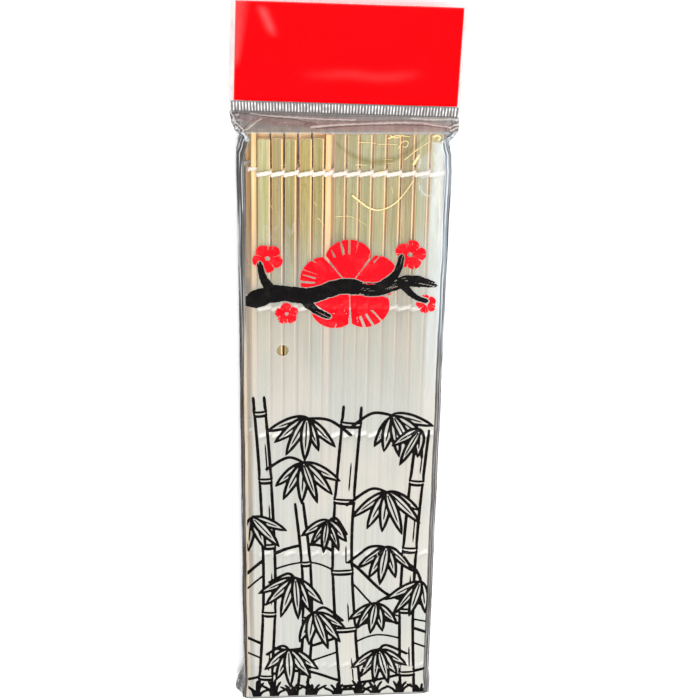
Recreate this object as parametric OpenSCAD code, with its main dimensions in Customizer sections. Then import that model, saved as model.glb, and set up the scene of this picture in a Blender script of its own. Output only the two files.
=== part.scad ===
// Bamboo sushi rolling mat, folded in three and packed in a flat header bag.
// Millimetres. +Z is up, the pack lies on its back, +Y points to the header.
// The origin is under the middle of the pack, on the table.

/* [Mat] */
// Length of a slat
slat_len = 240; // [180:1:300]
// Thickness of a slat
slat_t = 2.2; // [1.5:0.1:3]
// Gap between two neighbouring slats of the plain layers
slat_gap = 0.5; // [0.4:0.05:0.8]
// Free height between two folded layers
layer_gap = 3.9; // [3:0.1:6]
// How far the lower layer lies above the back film
lift = 1.45; // [1.4:0.05:3]

/* [Twine] */
// Distance between two rows of twine
row_pitch = 52.6; // [30:0.1:60]
// Thickness of one strand
strand = 1.2; // [0.8:0.1:1.3]
// Width of a row
row_w = 1.7; // [1:0.1:3]

/* [Bag] */
// Width of the bag
bag_w = 76; // [70:1:100]
// Thickness of the film
film_t = 0.15; // [0.1:0.05:0.3]
// Diameter of the round vent hole
vent_d = 4.5; // [3:0.5:8]
// Width of the lip of the bottom seal
lip = 2; // [1:0.5:6]

/* [Header] */
// Width of the header film
header_w = 82.4; // [70:0.1:100]
// Height of the header film
header_h = 36.8; // [20:0.1:60]
// Height of the ribbed heat seal
seal_h = 3.6; // [2:0.1:8]
// Distance between two ribs of the heat seal
rib_pitch = 1.1; // [0.8:0.1:3]

/* [Hidden] */

// colours
skin = [0.71, 0.70, 0.47];
pith = [0.93, 0.83, 0.62];
cotton = [0.96, 0.94, 0.90];
clear = [0.85, 0.87, 0.88, 0.35];
milky = [0.97, 0.97, 0.97, 0.8];
red = [0.90, 0.02, 0.05];

// hinge lines of the two folds, left and right
fold_r = 33.2;
fold_l = -31.4;
left_end = -35.6;

// heights of the three layers
z1 = 0.25 + lift;
z2 = z1 + slat_t + layer_gap;
z3 = z2 + slat_t + layer_gap;
top_z = z3 + slat_t;
fold_h = layer_gap - slat_gap;

// widths of the slats of the lower and the middle layer
low_n = 14;
mid_n = 13;
low_w = (fold_r - slat_gap/2 - left_end - (low_n - 1)*slat_gap)/low_n;
mid_w = (fold_r - fold_l - slat_gap - (mid_n - 1)*slat_gap)/mid_n;

// left edges and widths of the slats of the front layer
front_x = [-31.1, -25.9, -21.2, -15.8, -11.1, -6.8, -3.6, 1.1, 5.8, 10.5, 15.5, 20.6, 25.7, 30.9];
front_w = [4.6, 3.9, 4.0, 4.2, 3.8, 2.2, 4.1, 4.1, 4.1, 4.4, 4.6, 4.5, 4.6, 4.4];
// how far the upper ends of the front slats stand back
front_back = [2.2, 2.0, 2.3, 2.1, 1.9, 0.2, 0, 0.2, 0.1, 0, 0.3, 0.1, 0, 0.2];

// heights of the films and the header
film_z = top_z + 0.1 + strand + 0.3;
mid_z = 8.4;
half_l = slat_len/2;
film_low = -half_l - 2.4;
film_top = half_l + 1.2;
seal_y = half_l + 5;
head_y = seal_y + seal_h + 0.1;
y_min = film_low - 0.2 - lip;
y_max = head_y + header_h;
// shift that puts the middle of the whole pack at y = 0
y_mid = -(y_min + y_max)/2;

module placed() translate([0, y_mid, 0]) children();

// a flat shape in Y and Z, drawn out along X from -w/2 to w/2
module along_x(w) translate([-w/2, 0, 0]) rotate([90, 0, 90]) linear_extrude(height = w) children();

// a slat with bevelled edges, skin side up or down, from y0 to y1
module bar(x, z, w, h, y0, y1, up = true) {
  c = 0.45;
  b = 0.2;
  lo = up ? b : c;
  hi = up ? c : b;
  translate([x, y1, z]) rotate([90, 0, 0]) linear_extrude(height = y1 - y0)
    polygon([[lo, 0], [w - lo, 0], [w, lo], [w, h - hi], [w - hi, h], [hi, h], [0, h - hi], [0, lo]]);
}

// small differences in length from slat to slat
function wobble(i) = 0.4*sin(i*137);

module low_slat(i) color(skin) placed()
  bar(left_end + i*(low_w + slat_gap), z1, low_w, slat_t, -half_l + wobble(i), half_l + wobble(i + 5));

module mid_slat(i) color(pith) placed()
  bar(fold_r - slat_gap/2 - mid_w - i*(mid_w + slat_gap), z2, mid_w, slat_t, -half_l + wobble(i + 9), half_l + wobble(i + 3), false);

// the lower ends of the front slats slant a little across the mat
function slant(i) = -1.2 + 1.8*i/13;

module front_slat(i) color(skin) placed()
  bar(front_x[i], z3, front_w[i], slat_t, -half_l + slant(i) + 0.6*wobble(i + 2), half_l - front_back[i]);

// slats of the lower layer, from the left edge to the right fold
module slat_01() low_slat(0);
module slat_02() low_slat(1);
module slat_03() low_slat(2);
module slat_04() low_slat(3);
module slat_05() low_slat(4);
module slat_06() low_slat(5);
module slat_07() low_slat(6);
module slat_08() low_slat(7);
module slat_09() low_slat(8);
module slat_10() low_slat(9);
module slat_11() low_slat(10);
module slat_12() low_slat(11);
module slat_13() low_slat(12);
module slat_14() low_slat(13);

// the slat that stands on its edge in the right fold
module fold_slat_right() color(pith) placed()
  bar(fold_r, z1 + slat_t + slat_gap/2, slat_t, fold_h, -half_l, half_l);

// slats of the middle layer, from the right fold to the left one
module slat_16() mid_slat(0);
module slat_17() mid_slat(1);
module slat_18() mid_slat(2);
module slat_19() mid_slat(3);
module slat_20() mid_slat(4);
module slat_21() mid_slat(5);
module slat_22() mid_slat(6);
module slat_23() mid_slat(7);
module slat_24() mid_slat(8);
module slat_25() mid_slat(9);
module slat_26() mid_slat(10);
module slat_27() mid_slat(11);
module slat_28() mid_slat(12);

// the slat that stands on its edge in the left fold
module fold_slat_left() color(pith) placed()
  bar(fold_l - slat_t, z2 + slat_t + slat_gap/2, slat_t, fold_h, -half_l + 0.3, half_l + 0.2);

// slats of the front layer, from the left fold to the right edge
module slat_30() front_slat(0);
module slat_31() front_slat(1);
module slat_32() front_slat(2);
module slat_33() front_slat(3);
module slat_34() front_slat(4);
// one slat is turned on its edge
module slat_35_on_edge() color(pith) placed()
  bar(front_x[5], z3 - 1.3, front_w[5], slat_t + 1.3, -half_l, half_l - 0.2);
module slat_36() front_slat(6);
module slat_37() front_slat(7);
module slat_38() front_slat(8);
module slat_39() front_slat(9);
module slat_40() front_slat(10);
module slat_41() front_slat(11);
module slat_42() front_slat(12);
module slat_43() front_slat(13);

// one box of twine between two corners, as wide as a row
module run(x0, x1, za, zb) translate([x0, -row_w/2, za]) cube([x1 - x0, row_w, zb - za]);

// a row of twine: one strand over and one under each layer, round both folds,
// closed by a loop at either end
module twine_row(k) color(cotton) placed() translate([0, (3 - k)*row_pitch, 0]) {
  s = strand;
  e = 0.1;
  lx = left_end - e - s;
  rx = front_x[13] + front_w[13] + e + s;
  ax = fold_r + slat_t + e + s;
  bx = fold_l - slat_t - e - s;
  ex = front_x[5];
  ew = front_w[5];
  // lower layer and right fold
  run(lx, ax, z1 - e - s, z1 - e);
  run(lx, fold_r - e, z1 + slat_t + e, z1 + slat_t + e + s);
  run(lx, lx + s, z1 - e - s, z1 + slat_t + e + s);
  run(ax - s, ax, z1 - e - s, z2 + slat_t + e + s);
  run(fold_r - e - s, fold_r - e, z1 + slat_t + e, z2 - e);
  // middle layer and left fold
  run(bx, fold_r - e, z2 - e - s, z2 - e);
  run(fold_l + e, ax, z2 + slat_t + e, z2 + slat_t + e + s);
  run(bx, bx + s, z2 - e - s, top_z + e + s);
  run(fold_l + e, fold_l + e + s, z2 + slat_t + e, z3 - e);
  // front layer, with a dip under the slat on its edge
  run(bx, rx, top_z + e, top_z + e + s);
  run(fold_l + e, ex - e, z3 - e - s, z3 - e);
  run(ex - 0.6, ex + ew + 0.6, z3 - 1.35 - 1.1, z3 - 1.35);
  run(ex - 0.6, ex - e, z3 - 2.45, z3 - e);
  run(ex + ew + e, ex + ew + 0.6, z3 - 2.45, z3 - e);
  run(ex + ew + e, rx, z3 - e - s, z3 - e);
  run(rx - s, rx, z3 - e - s, top_z + e + s);
}

module twine_row_1() twine_row(1);
module twine_row_2() twine_row(2);
module twine_row_3() twine_row(3);
module twine_row_4() twine_row(4);
module twine_row_5() twine_row(5);

// one straight splinter
module splinter(x, y, a, l) translate([x, y, top_z + 0.3]) rotate([0, 0, a]) cube([l, 0.4, 0.4]);

// splinters and chips that came off the slats and lie under the front film
module loose_splinters() color(pith) placed() {
  splinter(3.0, 96.5, -24, 8.4);
  splinter(11.6, 92.6, 38, 12);
  splinter(21.0, 110.6, 38, 11);
  splinter(3.7, 108.4, 2, 4);
  splinter(13.7, 110.2, 0, 3.4);
  splinter(4.5, 117.3, -2, 6.4);
  splinter(24.5, 108.2, 70, 3);
}

// the back of the bag, flat on the table
module back_film() color(clear) placed()
  translate([-bag_w/2, film_low, 0]) cube([bag_w, film_top - film_low, 0.25]);

// the front of the bag, with its lower end wall and the vent hole
module front_film() color(milky) placed() difference() {
  along_x(bag_w) polygon([
    [film_low, 0.35], [film_low + film_t, 0.35], [film_low + film_t, film_z],
    [film_top, film_z], [film_top, film_z + film_t], [film_low, film_z + film_t]]);
  translate([-22, 35.3, film_z - 1]) cylinder(d = vent_d, h = 3, $fn = 48);
}

// a side of the bag, folded inwards along its middle
module gusset(s) color(clear) placed() {
  a = s*bag_w/2;
  b = s*(bag_w/2 - 0.8);
  t = s*film_t;
  translate([0, film_top, 0]) rotate([90, 0, 0]) linear_extrude(height = film_top - film_low - 0.4)
    polygon([[a, 0.35], [b, 9], [a, film_z - 0.1], [a - t, film_z - 0.1], [b - t, 9], [a - t, 0.35]]);
}
module left_gusset() gusset(-1);
module right_gusset() gusset(1);

// the two films closing in from the mat to the heat seal
module shoulder_film() color(clear) placed() along_x(bag_w + 2) {
  polygon([[film_top + 0.1, film_z - 0.2], [film_top + 0.1, film_z + film_t], [seal_y - 0.1, mid_z + 0.75], [seal_y - 0.1, mid_z + 0.4]]);
  polygon([[film_top + 0.1, 0], [film_top + 0.1, 0.35], [seal_y - 0.1, mid_z + 0.3], [seal_y - 0.1, mid_z - 0.05]]);
}

// the welded lip along the lower edge
module bottom_seal() color(clear) placed()
  translate([-bag_w/2 + 1, y_min, 0]) cube([bag_w - 2, lip, 0.5]);

// the welded band under the header, with upright ribs
module top_seal() color([0.55, 0.53, 0.52, 0.7]) placed() {
  n = floor((header_w - 2)/rib_pitch/2);
  translate([-header_w/2 + 0.4, seal_y, mid_z]) cube([header_w - 0.8, seal_h, 0.7]);
  for (i = [-n:n]) translate([i*rib_pitch - 0.3, seal_y + 0.1, mid_z + 0.6]) cube([0.6, seal_h - 0.2, 0.3]);
}

// the printed card, a little narrower than its film
module header_card() color(red) placed()
  translate([-header_w/2 + 1.6, head_y + 0.2, mid_z + 0.25]) cube([header_w - 2.6, header_h - 0.6, 0.4]);

// the clear pocket round the card, open towards the heat seal
module header_film() color(clear) placed() difference() {
  translate([-header_w/2, head_y, mid_z]) cube([header_w, header_h, 0.9]);
  translate([-header_w/2 + 0.8, head_y - 1, mid_z + 0.15]) cube([header_w - 1.4, header_h + 0.8, 0.6]);
}

slat_01();
slat_02();
slat_03();
slat_04();
slat_05();
slat_06();
slat_07();
slat_08();
slat_09();
slat_10();
slat_11();
slat_12();
slat_13();
slat_14();
fold_slat_right();
slat_16();
slat_17();
slat_18();
slat_19();
slat_20();
slat_21();
slat_22();
slat_23();
slat_24();
slat_25();
slat_26();
slat_27();
slat_28();
fold_slat_left();
slat_30();
slat_31();
slat_32();
slat_33();
slat_34();
slat_35_on_edge();
slat_36();
slat_37();
slat_38();
slat_39();
slat_40();
slat_41();
slat_42();
slat_43();
twine_row_1();
twine_row_2();
twine_row_3();
twine_row_4();
twine_row_5();
loose_splinters();
back_film();
front_film();
left_gusset();
right_gusset();
shoulder_film();
bottom_seal();
top_seal();
header_card();
header_film();
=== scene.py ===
import bpy
import math
import random
import numpy as np
from mathutils import Matrix, Vector, noise


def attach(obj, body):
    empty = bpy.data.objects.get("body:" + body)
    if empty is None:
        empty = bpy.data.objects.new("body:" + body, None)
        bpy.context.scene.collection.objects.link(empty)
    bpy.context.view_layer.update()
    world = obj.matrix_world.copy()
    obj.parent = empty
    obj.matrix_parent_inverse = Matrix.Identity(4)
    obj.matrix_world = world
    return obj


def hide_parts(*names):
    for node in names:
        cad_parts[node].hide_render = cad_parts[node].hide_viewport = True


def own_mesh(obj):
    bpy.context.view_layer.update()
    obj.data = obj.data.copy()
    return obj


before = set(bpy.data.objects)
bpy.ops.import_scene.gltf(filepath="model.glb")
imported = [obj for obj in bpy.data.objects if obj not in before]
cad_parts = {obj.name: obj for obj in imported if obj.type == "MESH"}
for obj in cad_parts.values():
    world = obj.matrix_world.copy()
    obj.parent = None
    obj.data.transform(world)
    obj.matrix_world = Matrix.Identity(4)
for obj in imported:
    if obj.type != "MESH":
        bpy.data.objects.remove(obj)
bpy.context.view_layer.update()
rng = random.Random(7)

# ---------------------------------------------------------------- numbers, in mm
# y is counted from the middle of the mat, YM moves it into the row frame
YM = -20.45
T, GAP, LAYER = 2.2, 0.5, 3.9
Z1 = 1.7
Z2 = Z1 + T + LAYER
Z3 = Z2 + T + LAYER
TOP = Z3 + T
FOLD_R, FOLD_L, LEFT = 33.2, -31.4, -35.6
FOLD_H = LAYER - GAP
LOW_W = (FOLD_R - GAP / 2 - LEFT - 13 * GAP) / 14
MID_W = (FOLD_R - FOLD_L - GAP - 12 * GAP) / 13
FX = [-31.1, -25.9, -21.2, -15.8, -11.1, -6.8, -3.6, 1.1, 5.8, 10.5, 15.5, 20.6, 25.7, 30.9]
FW = [4.6, 3.9, 4.0, 4.2, 3.8, 2.2, 4.1, 4.1, 4.1, 4.4, 4.6, 4.5, 4.6, 4.4]
BACK = [2.2, 2.0, 2.3, 2.1, 1.9, 0.2, 0.0, 0.2, 0.1, 0.0, 0.3, 0.1, 0.0, 0.2]
ROWS = [105.2, 52.6, 0.0, -52.6, -105.2]
HALF = 120.0
SEAL_Y, SEAL_H, MID_Z = 125.0, 3.6, 8.4
HEAD_Y, HEAD_W, HEAD_H = 128.7, 82.4, 36.8
VENT = (-22.0, 35.3, 2.25)


def srgb(r, g, b):
    """A colour given as it is seen, 0 to 255, made linear."""
    out = []
    for c in (r, g, b):
        c /= 255
        out.append(c / 12.92 if c <= 0.04045 else ((c + 0.055) / 1.055) ** 2.4)
    return (*out, 1.0)


def mix(a, b, f):
    return tuple(x + (y - x) * f for x, y in zip(a, b))


def smooth(x, a, b):
    """0 below a, 1 above b."""
    if a == b:
        return float(x >= a)
    t = min(max((x - a) / (b - a), 0.0), 1.0)
    return t * t * (3 - 2 * t)


def bump(x, c, w):
    return math.exp(-((x - c) / w) ** 2)


def wobble(i):
    return 0.4 * math.sin(math.radians(i * 137))


def fbm(x, y, z=0.0, n=3):
    v, a = 0.0, 1.0
    for k in range(n):
        v += a * noise.noise(Vector((x * 2 ** k, y * 2 ** k, z + 7.3 * k)))
        a *= 0.5
    return v


# ---------------------------------------------------------------- node helpers
class Nodes:
    def __init__(self, name):
        self.m = bpy.data.materials.new(name)
        self.m.use_nodes = True
        self.t = self.m.node_tree
        self.bsdf = next(n for n in self.t.nodes if n.type == "BSDF_PRINCIPLED")

    def new(self, kind, **values):
        n = self.t.nodes.new(kind)
        for k, v in values.items():
            setattr(n, k, v)
        return n

    def put(self, socket, value):
        if isinstance(value, bpy.types.NodeSocket):
            self.t.links.new(value, socket)
        elif value is not None:
            socket.default_value = value

    def coords(self, scale=(1, 1, 1), kind="Object"):
        tc = self.new("ShaderNodeTexCoord")
        mp = self.new("ShaderNodeMapping")
        mp.inputs["Scale"].default_value = scale
        self.t.links.new(tc.outputs[kind], mp.inputs["Vector"])
        return mp.outputs["Vector"]

    def uv(self, scale=(1, 1, 1)):
        un = self.new("ShaderNodeUVMap", uv_map="UVMap")
        mp = self.new("ShaderNodeMapping")
        mp.inputs["Scale"].default_value = scale
        self.t.links.new(un.outputs["UV"], mp.inputs["Vector"])
        return mp.outputs["Vector"]

    def noise(self, vector, scale=1.0, detail=4.0, rough=0.55, distort=0.0):
        n = self.new("ShaderNodeTexNoise")
        self.put(n.inputs["Vector"], vector)
        n.inputs["Scale"].default_value = scale
        n.inputs["Detail"].default_value = detail
        n.inputs["Roughness"].default_value = rough
        n.inputs["Distortion"].default_value = distort
        return n.outputs["Fac"]

    def ramp(self, fac, stops, interpolation="LINEAR"):
        r = self.new("ShaderNodeValToRGB")
        r.color_ramp.interpolation = interpolation
        e = r.color_ramp.elements
        while len(e) < len(stops):
            e.new(0.5)
        for s, (p, c) in zip(e, stops):
            s.position = p
            s.color = c if hasattr(c, "__len__") else (c, c, c, 1)
        self.put(r.inputs["Fac"], fac)
        return r.outputs["Color"]

    def math(self, op, a, b=None, clamp=False):
        m = self.new("ShaderNodeMath", operation=op, use_clamp=clamp)
        self.put(m.inputs[0], a)
        if b is not None:
            self.put(m.inputs[1], b)
        return m.outputs[0]

    def blend(self, fac, a, b, kind="MIX"):
        m = self.new("ShaderNodeMix", data_type="RGBA", blend_type=kind)
        self.put(m.inputs["Factor"], fac)
        self.put(m.inputs["A"], a)
        self.put(m.inputs["B"], b)
        return m.outputs["Result"]

    def attr(self, name, out="Color"):
        a = self.new("ShaderNodeAttribute", attribute_name=name)
        return a.outputs[out]

    def bump(self, height, strength=0.3, distance=0.0002):
        b = self.new("ShaderNodeBump")
        b.inputs["Strength"].default_value = strength
        b.inputs["Distance"].default_value = distance
        self.put(b.inputs["Height"], height)
        self.put(self.bsdf.inputs["Normal"], b.outputs["Normal"])

    def set(self, **values):
        for k, v in values.items():
            self.put(self.bsdf.inputs[k.replace("_", " ")], v)
        return self


# ---------------------------------------------------------------- materials
def bamboo(name, skin, dark, rough=(0.42, 0.62)):
    """Long fibres along the slat. skin is 1 for the green outer side and 0 for the pale inner wood."""
    n = Nodes(name)
    tint = n.attr("tint")
    fine = n.noise(n.coords((1500, 22, 1500)), 1.0, 3.0, 0.6)
    fibre = n.noise(n.coords((5200, 55, 5200)), 1.0, 2.0, 0.6)
    broad = n.noise(n.coords((160, 16, 160)), 1.0, 3.0, 0.5)
    c = n.blend(n.ramp(fine, [(0.3, 0.0), (0.72, 1.0)]), tint, n.blend(1.0, tint, dark, "MULTIPLY"))
    c = n.blend(n.math("MULTIPLY", n.ramp(fibre, [(0.45, 0.0), (0.75, 1.0)]), 0.4), c, n.blend(1.0, c, srgb(196, 176, 150), "MULTIPLY"))
    c = n.blend(n.math("MULTIPLY", n.ramp(broad, [(0.4, 0.0), (0.66, 1.0)]), 0.3), c, n.blend(1.0, tint, srgb(255, 246, 214) if skin else srgb(255, 232, 205), "MULTIPLY"))
    if skin:
        # a waxy bloom in long patches, and small dark specks
        bloom = n.noise(n.coords((420, 34, 420)), 1.0, 4.0, 0.6, 0.4)
        c = n.blend(n.math("MULTIPLY", n.ramp(bloom, [(0.52, 0.0), (0.7, 1.0)]), 0.35), c, srgb(196, 194, 150))
        speck = n.noise(n.coords((2600, 520, 2600)), 1.0, 2.0, 0.7, 0.6)
        where = n.noise(n.coords((150, 26, 150)), 1.0, 2.0, 0.5)
        spots = n.math("MULTIPLY", n.ramp(speck, [(0.62, 0.0), (0.68, 1.0)]), n.ramp(where, [(0.46, 0.0), (0.58, 1.0)]))
        c = n.blend(n.math("MULTIPLY", spots, 0.7), c, srgb(92, 84, 46))
    n.set(Base_Color=c, Roughness=n.ramp(fine, [(0.2, rough[0]), (0.8, rough[1])]), IOR=1.4)
    n.bump(n.math("ADD", n.math("MULTIPLY", fine, 0.7), n.math("MULTIPLY", fibre, 0.4)), 0.35 if skin else 0.55, 0.00012)
    return n.m


def end_grain():
    n = Nodes("bamboo_end_grain")
    tint = n.attr("tint")
    dots = n.new("ShaderNodeTexVoronoi")
    n.put(dots.inputs["Vector"], n.coords((3200, 3200, 3200)))
    d = n.ramp(dots.outputs["Distance"], [(0.12, 1.0), (0.34, 0.0)])
    b = n.noise(n.coords((900, 900, 900)), 1.0, 3.0)
    c = n.blend(n.math("MULTIPLY", d, 0.22), tint, srgb(190, 128, 72))
    c = n.blend(n.math("MULTIPLY", n.ramp(b, [(0.35, 0.0), (0.7, 1.0)]), 0.3), c, n.blend(1.0, tint, srgb(255, 222, 184), "MULTIPLY"))
    n.set(Base_Color=c, Roughness=0.8)
    n.bump(n.math("SUBTRACT", b, n.math("MULTIPLY", d, 0.4)), 0.6, 0.00015)
    return n.m


def cotton():
    n = Nodes("cotton_twine")
    fuzz = n.noise(n.coords((2600, 2600, 2600)), 1.0, 4.0, 0.7, 0.3)
    soil = n.noise(n.coords((240, 240, 240)), 1.0, 2.0)
    c = n.blend(n.ramp(fuzz, [(0.32, 0.0), (0.66, 1.0)]), srgb(206, 190, 174), srgb(246, 236, 226))
    c = n.blend(n.math("MULTIPLY", n.ramp(soil, [(0.45, 0.0), (0.75, 1.0)]), 0.3), c, srgb(224, 204, 180))
    n.set(Base_Color=c, Roughness=0.95, Sheen_Weight=0.35, Sheen_Roughness=0.5)
    n.bump(fuzz, 0.8, 0.00025)
    return n.m


def splinter_wood():
    n = Nodes("splinter_wood")
    f = n.noise(n.coords((1400, 1400, 1400)), 1.0, 3.0)
    n.set(Base_Color=n.ramp(f, [(0.3, srgb(222, 186, 104)), (0.55, srgb(246, 222, 152)), (0.75, srgb(255, 240, 190))]), Roughness=0.5)
    n.bump(f, 0.4, 0.0001)
    return n.m


def film(name, dense, printed, speckle=0.8):
    """Clear film. The vertex colour 'tint_and_painted_light' holds how much of the film is seen (alpha) and its colour,
    with painted shade, glare and glints in it.
    """
    n = Nodes(name)
    tint_and_painted_light = n.attr("tint_and_painted_light")
    veil = n.attr("tint_and_painted_light", "Alpha")
    crinkle = n.noise(n.uv((0.55, 0.16, 1)), 1.0, 5.0, 0.6, 0.8)
    fine = n.noise(n.uv((2.4, 0.5, 1)), 1.0, 3.0, 0.6, 0.4)
    c = n.blend(n.math("MULTIPLY", n.ramp(crinkle, [(0.38, 0.0), (0.62, 1.0)]), dense), tint_and_painted_light, n.blend(1.0, tint_and_painted_light, srgb(196, 192, 190), "MULTIPLY"))
    grit = n.noise(n.uv((5.0, 3.2, 1)), 1.0, 2.0, 0.7)
    c = n.blend(n.math("MULTIPLY", n.ramp(grit, [(0.45, 0.0), (0.75, 1.0)]), dense * speckle), c, n.blend(1.0, c, srgb(186, 182, 180), "MULTIPLY"))
    a = veil
    if printed:
        # milky ink: thin and a little uneven at the top of the print, nearly closed below
        cover = n.attr("ink")
        patch = n.noise(n.uv((0.10, 0.035, 1)), 1.0, 3.0, 0.5)
        cov = n.math("MULTIPLY", cover, n.ramp(patch, [(0.3, 0.955), (0.7, 1.0)]), True)
        streak = n.noise(n.uv((0.9, 0.012, 1)), 1.0, 2.0, 0.5)
        pink = n.noise(n.uv((0.045, 0.02, 1)), 1.0, 2.0, 0.5)
        white = n.ramp(streak, [(0.3, srgb(186, 187, 180)), (0.7, srgb(196, 197, 191))])
        white = n.blend(n.math("MULTIPLY", n.ramp(pink, [(0.46, 0.0), (0.62, 1.0)]), 0.6), white, srgb(206, 198, 187))
        # painted highlight on the raised film over twine and creases, painted shade beside them and along the gaps
        # between slats
        painted_relief_shade = n.attr("painted_relief_shade", "Fac")
        white = n.blend(n.math("MAXIMUM", painted_relief_shade, 0.0), white, srgb(244, 243, 238))
        white = n.blend(n.math("MAXIMUM", n.math("MULTIPLY", painted_relief_shade, -1.0), 0.0), white, srgb(160, 156, 148))
        c = n.blend(n.math("DIVIDE", cov, n.math("MAXIMUM", n.math("SUBTRACT", n.math("ADD", cov, a), n.math("MULTIPLY", cov, a)), 0.001)), c, white)
        a = n.math("SUBTRACT", n.math("ADD", cov, a), n.math("MULTIPLY", cov, a), True)
    n.set(Base_Color=c, Alpha=a, Roughness=n.ramp(fine, [(0.2, 0.1), (0.8, 0.22)]), IOR=1.4)
    n.bump(n.math("ADD", crinkle, n.math("MULTIPLY", fine, 0.3)), 0.5, 0.0004)
    return n.m


def film_fold():
    """Where the film doubles over it is seen edge on, and is dark grey with painted pale glints."""
    n = Nodes("folded_film_edge")
    s = n.noise(n.coords((300, 26, 300)), 1.0, 4.0, 0.6, 0.5)
    c = n.ramp(s, [(0.36, srgb(40, 39, 44)), (0.52, srgb(82, 80, 84)), (0.68, srgb(214, 220, 224))])
    n.set(Base_Color=c, Alpha=n.ramp(s, [(0.3, 0.92), (0.7, 0.6)]), Roughness=0.16, IOR=1.6)
    n.bump(s, 0.4, 0.0003)
    return n.m


def ink(name, base, worn, gloss=0.28):
    n = Nodes(name)
    d = n.noise(n.coords((260, 260, 260)), 1.0, 5.0, 0.65)
    f = n.noise(n.coords((2200, 700, 2200)), 1.0, 3.0, 0.6)
    c = n.blend(n.math("MULTIPLY", n.ramp(d, [(0.5, 0.0), (0.72, 1.0)]), 0.7), base, worn)
    n.set(Base_Color=c, Roughness=n.ramp(f, [(0.2, gloss - 0.08), (0.8, gloss + 0.12)]), IOR=1.16)
    n.bump(f, 0.2, 0.00008)
    return n.m


def red_card():
    n = Nodes("red_card")
    d = n.noise(n.coords((34, 60, 34)), 1.0, 4.0, 0.5, 0.4)
    f = n.noise(n.coords((1900, 1900, 1900)), 1.0, 3.0, 0.6)
    c = n.ramp(d, [(0.3, srgb(238, 0, 6)), (0.5, srgb(246, 0, 8)), (0.72, srgb(250, 0, 10))])
    n.set(Base_Color=c, Roughness=n.ramp(f, [(0.2, 0.30), (0.8, 0.42)]), IOR=1.05)
    n.bump(n.math("ADD", n.math("MULTIPLY", d, 2.0), n.math("MULTIPLY", f, 0.1)), 0.22, 0.0006)
    return n.m


def seal_stuff():
    """The welded band: white upright ribs pressed into grey film."""
    n = Nodes("ribbed_seal")
    rib = n.attr("rib", "Fac")
    f = n.noise(n.uv((3.0, 0.8, 1)), 1.0, 3.0, 0.6)
    c = n.ramp(n.math("ADD", n.math("MULTIPLY", rib, 0.8), n.math("MULTIPLY", f, 0.2)), [(0.2, srgb(96, 92, 92)), (0.5, srgb(158, 154, 153)), (0.8, srgb(246, 246, 244))])
    n.set(Base_Color=c, Roughness=0.3, Alpha=n.ramp(rib, [(0.0, 0.86), (1.0, 0.95)]))
    n.bump(f, 0.3, 0.0002)
    return n.m


M_SKIN = bamboo("bamboo_skin_side", True, srgb(196, 186, 138))
M_PITH = bamboo("bamboo_inner_wood", False, srgb(250, 228, 194), (0.6, 0.8))
M_END = end_grain()
M_TWINE = cotton()
M_SPLINTER = splinter_wood()
M_FRONT = film("milky_printed_film", 0.25, True)
M_FILM = film("clear_bag_film", 0.45, False, 0.25)
M_SHOULDER = film("clear_shoulder_film", 0.4, False, 1.0)
M_FOLD = film_fold()
M_BLACK = ink("black_print", srgb(9, 7, 7), srgb(34, 28, 27))
M_RED = ink("red_print", srgb(226, 8, 24), srgb(238, 48, 54))
M_CARD = red_card()
M_SEAL = seal_stuff()


# ---------------------------------------------------------------- mesh helper
def piece(name, verts, faces, mats, body, which=None, flat=False, uvs=None, colours=None, values=None, nodes=(), shades=None):
    """verts in mm with y from the middle of the mat. colours: {attribute: per-vertex rgba}; shades: per-face rgba 'tint'."""
    me = bpy.data.meshes.new(name)
    me.from_pydata([(x / 1000, (y + YM) / 1000, z / 1000) for x, y, z in verts], [], faces)
    for m in mats:
        me.materials.append(m)
    if which is not None:
        me.polygons.foreach_set("material_index", np.array(which, dtype=np.int32))
    me.polygons.foreach_set("use_smooth", np.full(len(faces), not flat))
    if uvs is not None:
        layer = me.uv_layers.new(name="UVMap")
        loops = np.empty(len(me.loops), dtype=np.int32)
        me.loops.foreach_get("vertex_index", loops)
        layer.data.foreach_set("uv", np.array(uvs, dtype=np.float32)[loops].ravel())
    for key, vals in (colours or {}).items():
        a = me.color_attributes.new(name=key, type="FLOAT_COLOR", domain="POINT")
        a.data.foreach_set("color", np.array(vals, dtype=np.float32).ravel())
    for key, vals in (values or {}).items():
        a = me.attributes.new(name=key, type="FLOAT", domain="POINT")
        a.data.foreach_set("value", np.array(vals, dtype=np.float32))
    if shades is not None:
        a = me.color_attributes.new(name="tint", type="FLOAT_COLOR", domain="CORNER")
        counts = np.empty(len(faces), dtype=np.int32)
        me.polygons.foreach_get("loop_total", counts)
        a.data.foreach_set("color", np.repeat(np.array(shades, dtype=np.float32), counts, axis=0).ravel())
    me.validate(clean_customdata=False)
    me.update()
    o = bpy.data.objects.new(name, me)
    bpy.context.scene.collection.objects.link(o)
    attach(o, body)
    if nodes:
        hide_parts(*nodes)
    return o


# ---------------------------------------------------------------- camera
cam = bpy.data.objects.new("camera", bpy.data.cameras.new("camera"))
bpy.context.scene.collection.objects.link(cam)
R = Matrix.Rotation(math.radians(-25.54), 3, "X") @ Matrix.Rotation(math.radians(-2.31), 3, "Y") @ Matrix.Rotation(math.radians(-0.06), 3, "Z")
cam.matrix_world = Matrix.Translation((-0.0261, 0.32745, 0.6707)) @ R.to_4x4()
cam.data.sensor_fit = "HORIZONTAL"
cam.data.angle = 2 * math.atan(350 / 1944.9)
cam.data.clip_start, cam.data.clip_end = 0.01, 20
bpy.context.scene.camera = cam

# ---------------------------------------------------------------- slats
PALE, OLIVE, TAN, GOLD = srgb(180, 179, 136), srgb(154, 145, 97), srgb(160, 142, 102), srgb(172, 158, 100)
CREAM, PEACH, HONEY = srgb(247, 222, 176), srgb(244, 202, 152), srgb(226, 172, 112)


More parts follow.
